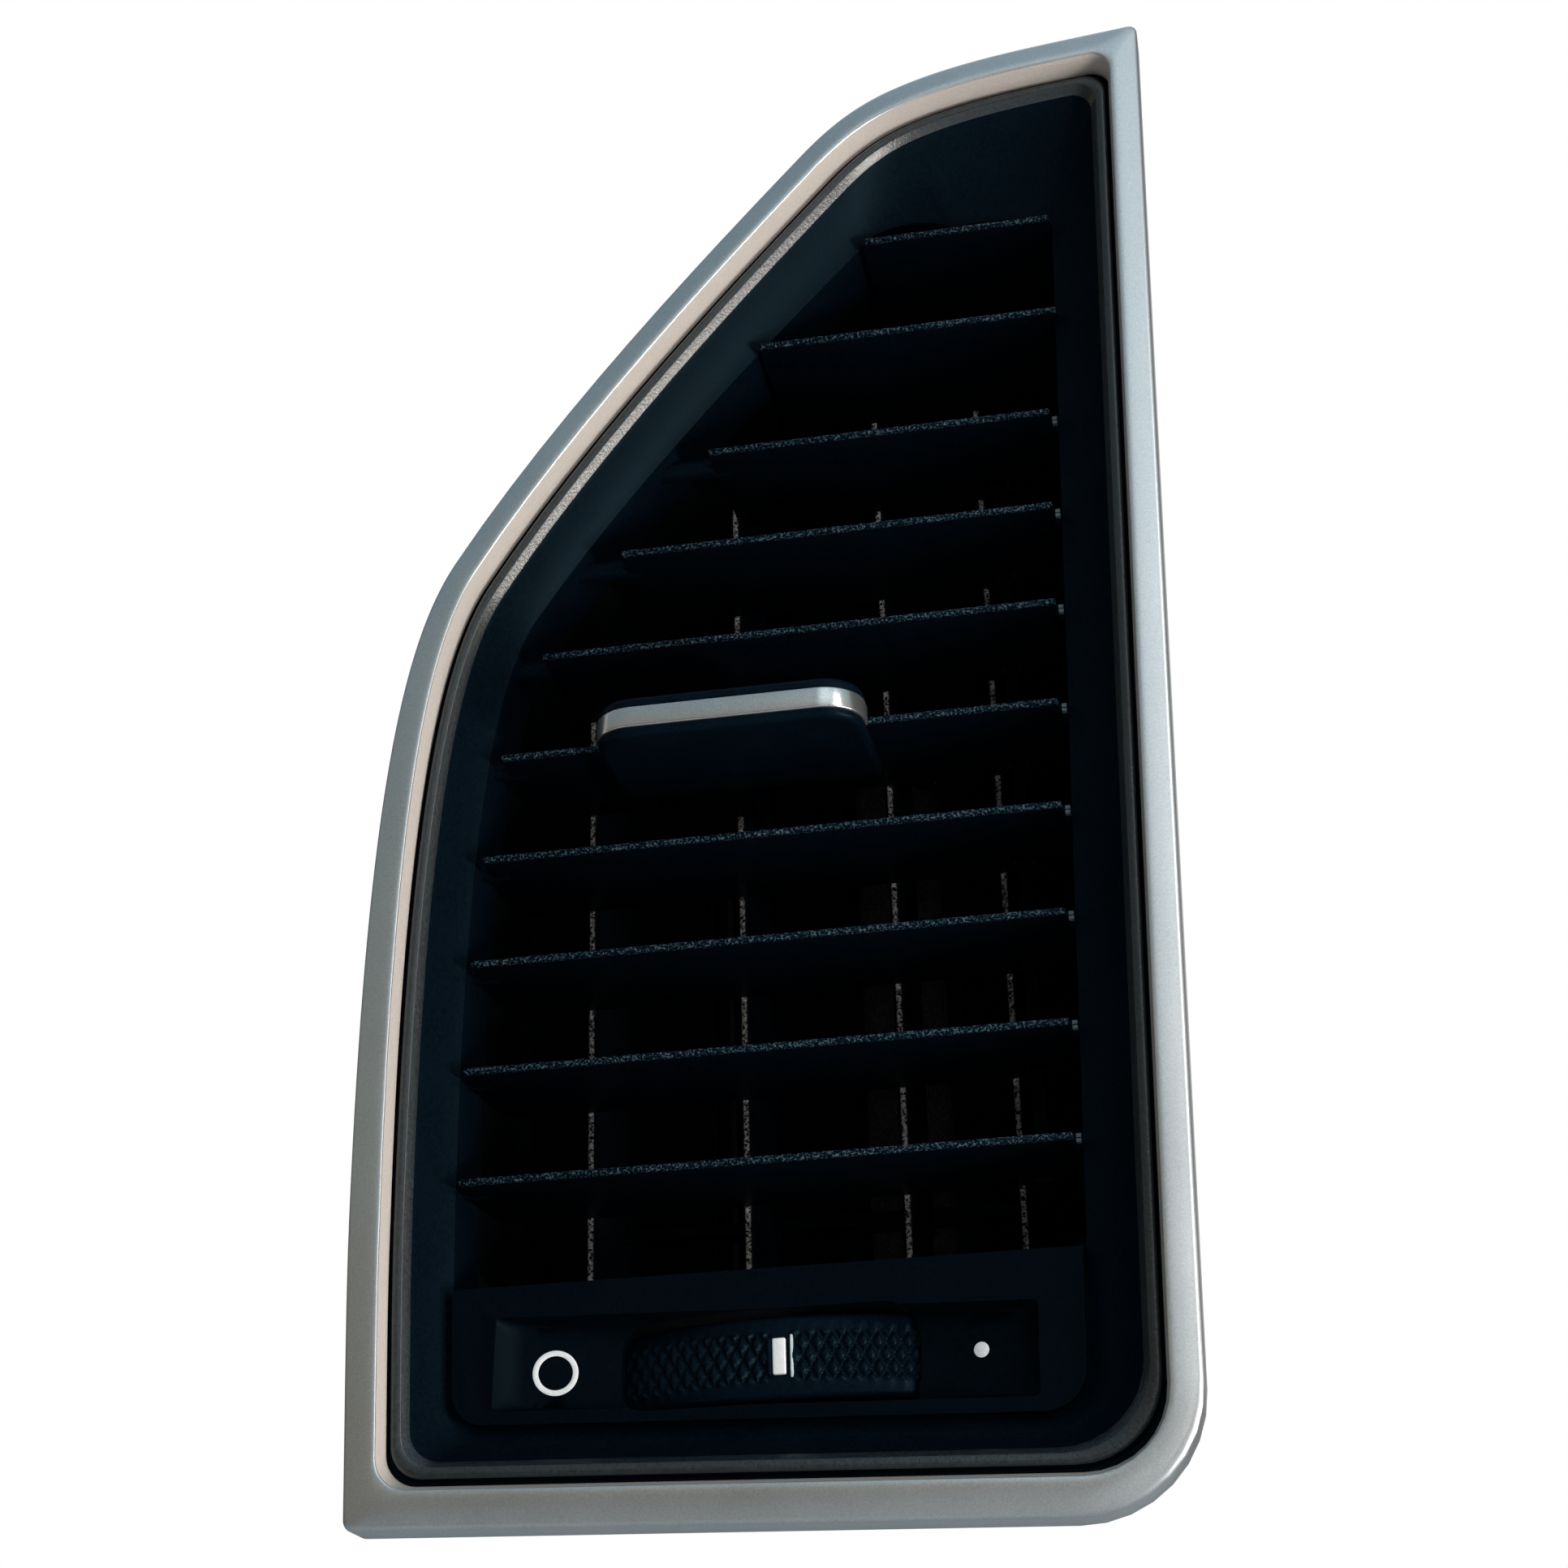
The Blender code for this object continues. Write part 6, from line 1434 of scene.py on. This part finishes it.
class VENT_OT_thumb_wheel(VentOperator):
    """Make the knurled thumbwheel and its white marker"""

    bl_idname = "vent.thumb_wheel"
    bl_label = "Thumbwheel"

    def execute(self, context):
        """Sweep the rim with its diamonds, then the web, hub, crank pin and marker."""
        bm = bmesh.new()
        self.rim(bm, context.scene.vent_sizes)
        self.web(bm)
        obj = object_from("thumb_wheel_fine", bm, 55.0)
        black = grained_black("wheel_black", 1.3, 0.30, 3000.0, 0.00002).material
        place(obj, "wheel", black, "black_plastic", "thumb_wheel")
        front = WHEEL_Y - WHEEL_RADIUS
        bm = bmesh.new()
        verts = add_box(bm, (WHEEL_X - MARKER_WIDTH / 2, front - 0.0001, WHEEL_Z - MARKER_HEIGHT / 2),
                        (WHEEL_X + MARKER_WIDTH / 2, front + MARKER_DEPTH, WHEEL_Z + MARKER_HEIGHT / 2))
        round_box(bm, verts, 0.00018, 3)
        marker = object_from("wheel_marker_fine", bm, 60.0)
        place(marker, "wheel", white_print("marker_white", 0.3), "white_plastic", "wheel_marker")
        bm = bmesh.new()
        side = WHEEL_X + MARKER_WIDTH / 2 + 0.00052
        verts = add_box(bm, (side, front + 0.00008, WHEEL_Z - 0.0024),
                        (side + 0.00030, front + 0.0008, WHEEL_Z + 0.0024))
        round_box(bm, verts, 0.00008, 2)
        rib = object_from("marker_rib", bm, 60.0)
        place(rib, "wheel", plain_plastic("pale_rib", (0.42, 0.50, 0.52), 0.4), "white_plastic")
        return {"FINISHED"}

    @staticmethod
    def rim(bm, sizes):
        """Rim sector whose front carries two pads of diamonds with the marker's flat between them."""
        depth = sizes.knurl_depth
        half = WHEEL_HEIGHT / 2
        pitch_z = 2 * PAD_HALF / sizes.knurl_rows
        turn = math.degrees(sizes.knurl_width / WHEEL_RADIUS)
        inner_radius = WHEEL_RADIUS - WHEEL_RIM
        steps = int(2 * WHEEL_SECTOR / turn) * 8
        fine = sizes.knurl_rows * 20
        levels = [-half, -half + 0.0002, -half + WHEEL_EDGE]
        levels += [-PAD_HALF + 2 * PAD_HALF * step / fine for step in range(fine + 1)]
        levels += [half - WHEEL_EDGE, half - 0.0002, half]
        rings = []
        for step in range(steps + 1):
            angle = -WHEEL_SECTOR + 2 * WHEEL_SECTOR * step / steps
            on_pad = (MARKER_FLAT[1] < angle < WHEEL_SECTOR - PAD_END
                      or -WHEEL_SECTOR + PAD_END < angle < MARKER_FLAT[0])
            section = []
            for level in levels:
                edge = max(abs(level) - (half - WHEEL_EDGE), 0.0) / WHEEL_EDGE
                radius = WHEEL_RADIUS - depth * 0.75 - WHEEL_EDGE * edge * edge
                if on_pad and abs(level) <= PAD_HALF + 0.00001:
                    u = (angle / turn) % 1.0
                    v = ((level + PAD_HALF) / pitch_z) % 1.0
                    diamond = 1.0 - (abs(u - 0.5) + abs(v - 0.5)) * 2.0
                    other = 1.0 - (abs((u + 0.5) % 1.0 - 0.5) + abs((v + 0.5) % 1.0 - 0.5)) * 2.0
                    height = min(max(diamond, other) * 1.7, 1.0)
                    fade = min((PAD_HALF - abs(level)) / 0.0004, 1.0)
                    radius += (depth * 1.15 * height - depth * 0.45) * max(fade, 0.0)
                section.append((radius, level))
            section += [(inner_radius, half), (inner_radius, -half)]
            rings.append(wheel_ring(math.radians(angle - 90.0), section))
        skin(bm, rings)
        close_ends(bm)
        rib = math.radians(-1.9 - 90.0)
        centre = wheel_ring(rib, [(WHEEL_RADIUS - depth * 0.75, 0.0)])[0]
        made = add_box(bm, (-0.00022, -0.00045, -MARKER_HEIGHT / 2), (0.00022, 0.0004, MARKER_HEIGHT / 2))
        bmesh.ops.translate(bm, vec=centre, verts=made)
        round_box(bm, made, 0.00014, 2)

    @staticmethod
    def web(bm):
        """Web, hub and crank pin behind the rim."""
        inner_radius = WHEEL_RADIUS - WHEEL_RIM + 0.0001
        for start, outer, sector in ((WHEEL_BORE, WHEEL_WEB_RADIUS, 180.0),
                                     (WHEEL_WEB_RADIUS - 0.001, inner_radius, WHEEL_SECTOR)):
            whole = sector == 180.0
            section = ((start, WHEEL_WEB), (outer, WHEEL_WEB), (outer, -WHEEL_WEB), (start, -WHEEL_WEB))
            rings = []
            for step in range(96 if whole else 97):
                rings.append(wheel_ring(math.radians(-sector + 2 * sector * step / 96 - 90.0), section))
            skin(bm, rings, around=whole)
            close_ends(bm)
        half = WHEEL_HEIGHT / 2
        soft = 0.0003
        section = ((WHEEL_BORE, half), (WHEEL_HUB - soft, half), (WHEEL_HUB, half - soft),
                   (WHEEL_HUB, -half + soft), (WHEEL_HUB - soft, -half), (WHEEL_BORE, -half))
        skin(bm, [wheel_ring(math.tau * step / 48, section) for step in range(48)], around=True)
        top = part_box("thumb_wheel")[1].z
        pin_x = WHEEL_X + CRANK_ARM
        rod_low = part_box("damper_rod")[0].z
        add_rod(bm, (pin_x, WHEEL_Y, WHEEL_Z), (pin_x, WHEEL_Y, top), 0.0015)
        add_rod(bm, (pin_x, WHEEL_Y, WHEEL_Z), (pin_x, WHEEL_Y, rod_low - GAP), 0.0027)


class VENT_OT_plain_finishes(VentOperator):
    """Give the pieces whose solids stay their procedural finishes"""

    bl_idname = "vent.plain_finishes"
    bl_label = "Plain finishes"

    def execute(self, context):
        """Assign a finish to each kept solid."""
        dark = tuple(context.scene.vent_colours.dark)
        duct = plain_plastic("duct_plastic", dark, 0.55)
        link = plain_plastic("link_plastic", scaled(dark, 1.2), 0.45)
        steel = bright_steel("bright_steel")
        foam = soft_foam("soft_foam")
        finishes = {
            "duct_housing": duct, "wheel_tray": duct, "damper_flap": duct,
            "slat_link": link, "side_link": link, "knob_fork": link, "damper_crank": link, "damper_rod": link,
            "bearing_strip_left": link, "bearing_strip_right": link,
            "rear_seal": foam, "flap_seal_left": foam, "flap_seal_right": foam, "wheel_pin": steel,
        }
        for number in range(1, 5):
            finishes[f"spring_clip_{number}"] = steel
            finishes[f"housing_screw_{number}"] = steel
        for name, material in finishes.items():
            obj = frame["nodes"][name]
            if not obj.material_slots:
                obj.data.materials.append(material)
            for slot in obj.material_slots:
                slot.material = material
        return {"FINISHED"}


class VENT_OT_stage(VentOperator):
    """Make the floor, the surroundings, the lights and the camera"""

    bl_idname = "vent.stage"
    bl_label = "Studio and camera"

    def execute(self, context):
        """Set the view, then add each part of the studio."""
        stage = context.scene.vent_stage
        context.scene.view_settings.view_transform = "Standard"
        self.floor(stage)
        self.surroundings(context.scene, stage)
        for name, position, width, height, power, colour in (
                ("side_softbox", (0.62, -0.62, 0.10), 0.18, 0.70, stage.side_power, (1.0, 0.96, 0.92)),
                ("top_softbox", (-0.10, 0.0, 1.0), 0.5, 0.4, stage.top_power, (0.88, 0.95, 1.0)),
                ("low_fill", (0.40, -0.17, -0.19), 0.26, 0.03, stage.fill_power, (1.0, 0.94, 0.88)),
                ("front_fill", (0.10, -0.60, -0.30), 0.20, 0.20, stage.front_power, (0.94, 0.98, 1.0))):
            self.light(name, position, width, height, power, colour)
        self.camera(context.scene)
        return {"FINISHED"}

    @staticmethod
    def floor(stage):
        """Pale floor below the vent and the camera."""
        bm = bmesh.new()
        bmesh.ops.create_grid(bm, x_segments=8, y_segments=8, size=0.55)
        bmesh.ops.translate(bm, vec=(0.0, 0.0, stage.floor_height), verts=bm.verts)
        obj = object_from("studio_floor", bm)
        finish = Finish("floor_grey")
        finish.set(Roughness=0.8)
        mottle = finish.noise(40.0, 3.0, 0.5)
        finish.colour(finish.ramp(mottle, ((0.3, (0.70, 0.70, 0.70)), (0.7, (0.73, 0.73, 0.73)))))
        obj.data.materials.append(finish.material)

    @staticmethod
    def surroundings(scene, stage):
        """Studio walls: white behind the vent for what is seen directly, and soft greys in front of it."""
        world = bpy.data.worlds.new("studio")
        scene.world = world
        world.use_nodes = True
        kit = Nodes(world.node_tree)
        background = kit.nodes["Background"]
        direction = kit.nodes.new("ShaderNodeTexCoord").outputs["Generated"]
        parts = kit.axes(direction)
        left_wall = kit.ramp(kit.between(parts["Z"], -0.2, 1.0, "LINEAR"), LEFT_WALL)
        right_wall = kit.ramp(kit.between(parts["Z"], -0.2, 1.0, "LINEAR"), RIGHT_WALL)
        rightness = kit.ramp(kit.between(parts["X"], -1.0, 1.0, "LINEAR"), RIGHTNESS)
        front = kit.mix(rightness, left_wall, right_wall)
        rays = kit.nodes.new("ShaderNodeLightPath").outputs
        toward = kit.nodes.new("ShaderNodeVectorMath")
        toward.operation = "DOT_PRODUCT"
        toward.inputs[1].default_value = BACKDROP_DIRECTION
        kit.links.new(direction, toward.inputs[0])
        edge, full = (math.cos(math.radians(angle)) for angle in (BACKDROP_EDGE, BACKDROP_HALF_WIDTH))
        backdrop = kit.between(toward.outputs["Value"], edge, full, "LINEAR")
        mirrored = kit.math("MULTIPLY", rays["Is Glossy Ray"], backdrop)
        direct = kit.math("MAXIMUM", rays["Is Camera Ray"], rays["Is Transmission Ray"])
        dim = kit.mix(rays["Is Glossy Ray"], (0.22, 0.225, 0.23), (0.05, 0.055, 0.06))
        back = kit.mix(kit.math("MAXIMUM", direct, mirrored), dim, (1.0, 1.0, 1.0))
        both = kit.mix(kit.between(parts["Y"], 0.08, 0.32, "LINEAR"), front, back)
        kit.links.new(both, background.inputs["Color"])
        background.inputs["Strength"].default_value = stage.world_strength

    @staticmethod
    def light(name, position, width, height, power, colour):
        """Soft rectangular light that faces the vent's middle."""
        lamp = bpy.data.lights.new(name, "AREA")
        lamp.shape = "RECTANGLE"
        lamp.size = width
        lamp.size_y = height
        lamp.energy = power
        lamp.color = colour
        obj = bpy.data.objects.new(name, lamp)
        bpy.context.scene.collection.objects.link(obj)
        obj.location = position
        obj.rotation_euler = (-Vector(position)).to_track_quat("-Z", "Y").to_euler()

    @staticmethod
    def camera(scene):
        """Camera at the photograph's angle, below the vent and a little to its right."""
        data = bpy.data.cameras.new("camera")
        data.sensor_width = CAMERA_SENSOR
        data.lens = CAMERA_LENS
        obj = bpy.data.objects.new("camera", data)
        scene.collection.objects.link(obj)
        forward = Vector(CAMERA_FORWARD).normalized()
        right = Vector(CAMERA_RIGHT)
        right = (right - forward * right.dot(forward)).normalized()
        up = right.cross(forward)
        turned = Matrix((right, up, -forward)).transposed()
        obj.matrix_world = Matrix.Translation(CAMERA_PLACE) @ turned.to_4x4()
        scene.camera = obj


class VENT_PT_panel(bpy.types.Panel):
    """Sidebar panel that lists the vent's pieces"""

    bl_label = "Dashboard air vent"
    bl_idname = "VENT_PT_panel"
    bl_space_type = "VIEW_3D"
    bl_region_type = "UI"
    bl_category = "Air vent"

    def draw(self, context):
        """List the operators and the values they use."""
        column = self.layout.column(align=True)
        for operator in PIECES:
            column.operator(operator.bl_idname)
        for group in (context.scene.vent_sizes, context.scene.vent_colours, context.scene.vent_stage):
            box = self.layout.box()
            for name in group.bl_rna.properties.keys():
                if name not in ("rna_type", "name"):
                    box.prop(group, name)


PIECES = (
    VENT_OT_trim_ring,
    VENT_OT_front_shroud,
    VENT_OT_slats,
    VENT_OT_knob,
    VENT_OT_side_vanes,
    VENT_OT_control_panel,
    VENT_OT_thumb_wheel,
    VENT_OT_plain_finishes,
    VENT_OT_stage,
)
CLASSES = (VentSizes, VentColours, VentStage) + PIECES + (VENT_PT_panel,)


def register():
    """Register the classes and hang their values on the scene."""
    for item in CLASSES:
        bpy.utils.register_class(item)
    bpy.types.Scene.vent_sizes = bpy.props.PointerProperty(type=VentSizes)
    bpy.types.Scene.vent_colours = bpy.props.PointerProperty(type=VentColours)
    bpy.types.Scene.vent_stage = bpy.props.PointerProperty(type=VentStage)


def unregister():
    """Take the values off the scene and unregister the classes."""
    del bpy.types.Scene.vent_stage
    del bpy.types.Scene.vent_colours
    del bpy.types.Scene.vent_sizes
    for item in reversed(CLASSES):
        bpy.utils.unregister_class(item)


def main():
    """Make everything in order."""
    register()
    bpy.ops.vent.stage()
    bpy.ops.vent.trim_ring()
    bpy.ops.vent.front_shroud()
    bpy.ops.vent.slats()
    bpy.ops.vent.knob()
    bpy.ops.vent.side_vanes()
    bpy.ops.vent.control_panel()
    bpy.ops.vent.thumb_wheel()
    bpy.ops.vent.plain_finishes()
    bpy.context.view_layer.update()


if __name__ == "__main__":
    main()
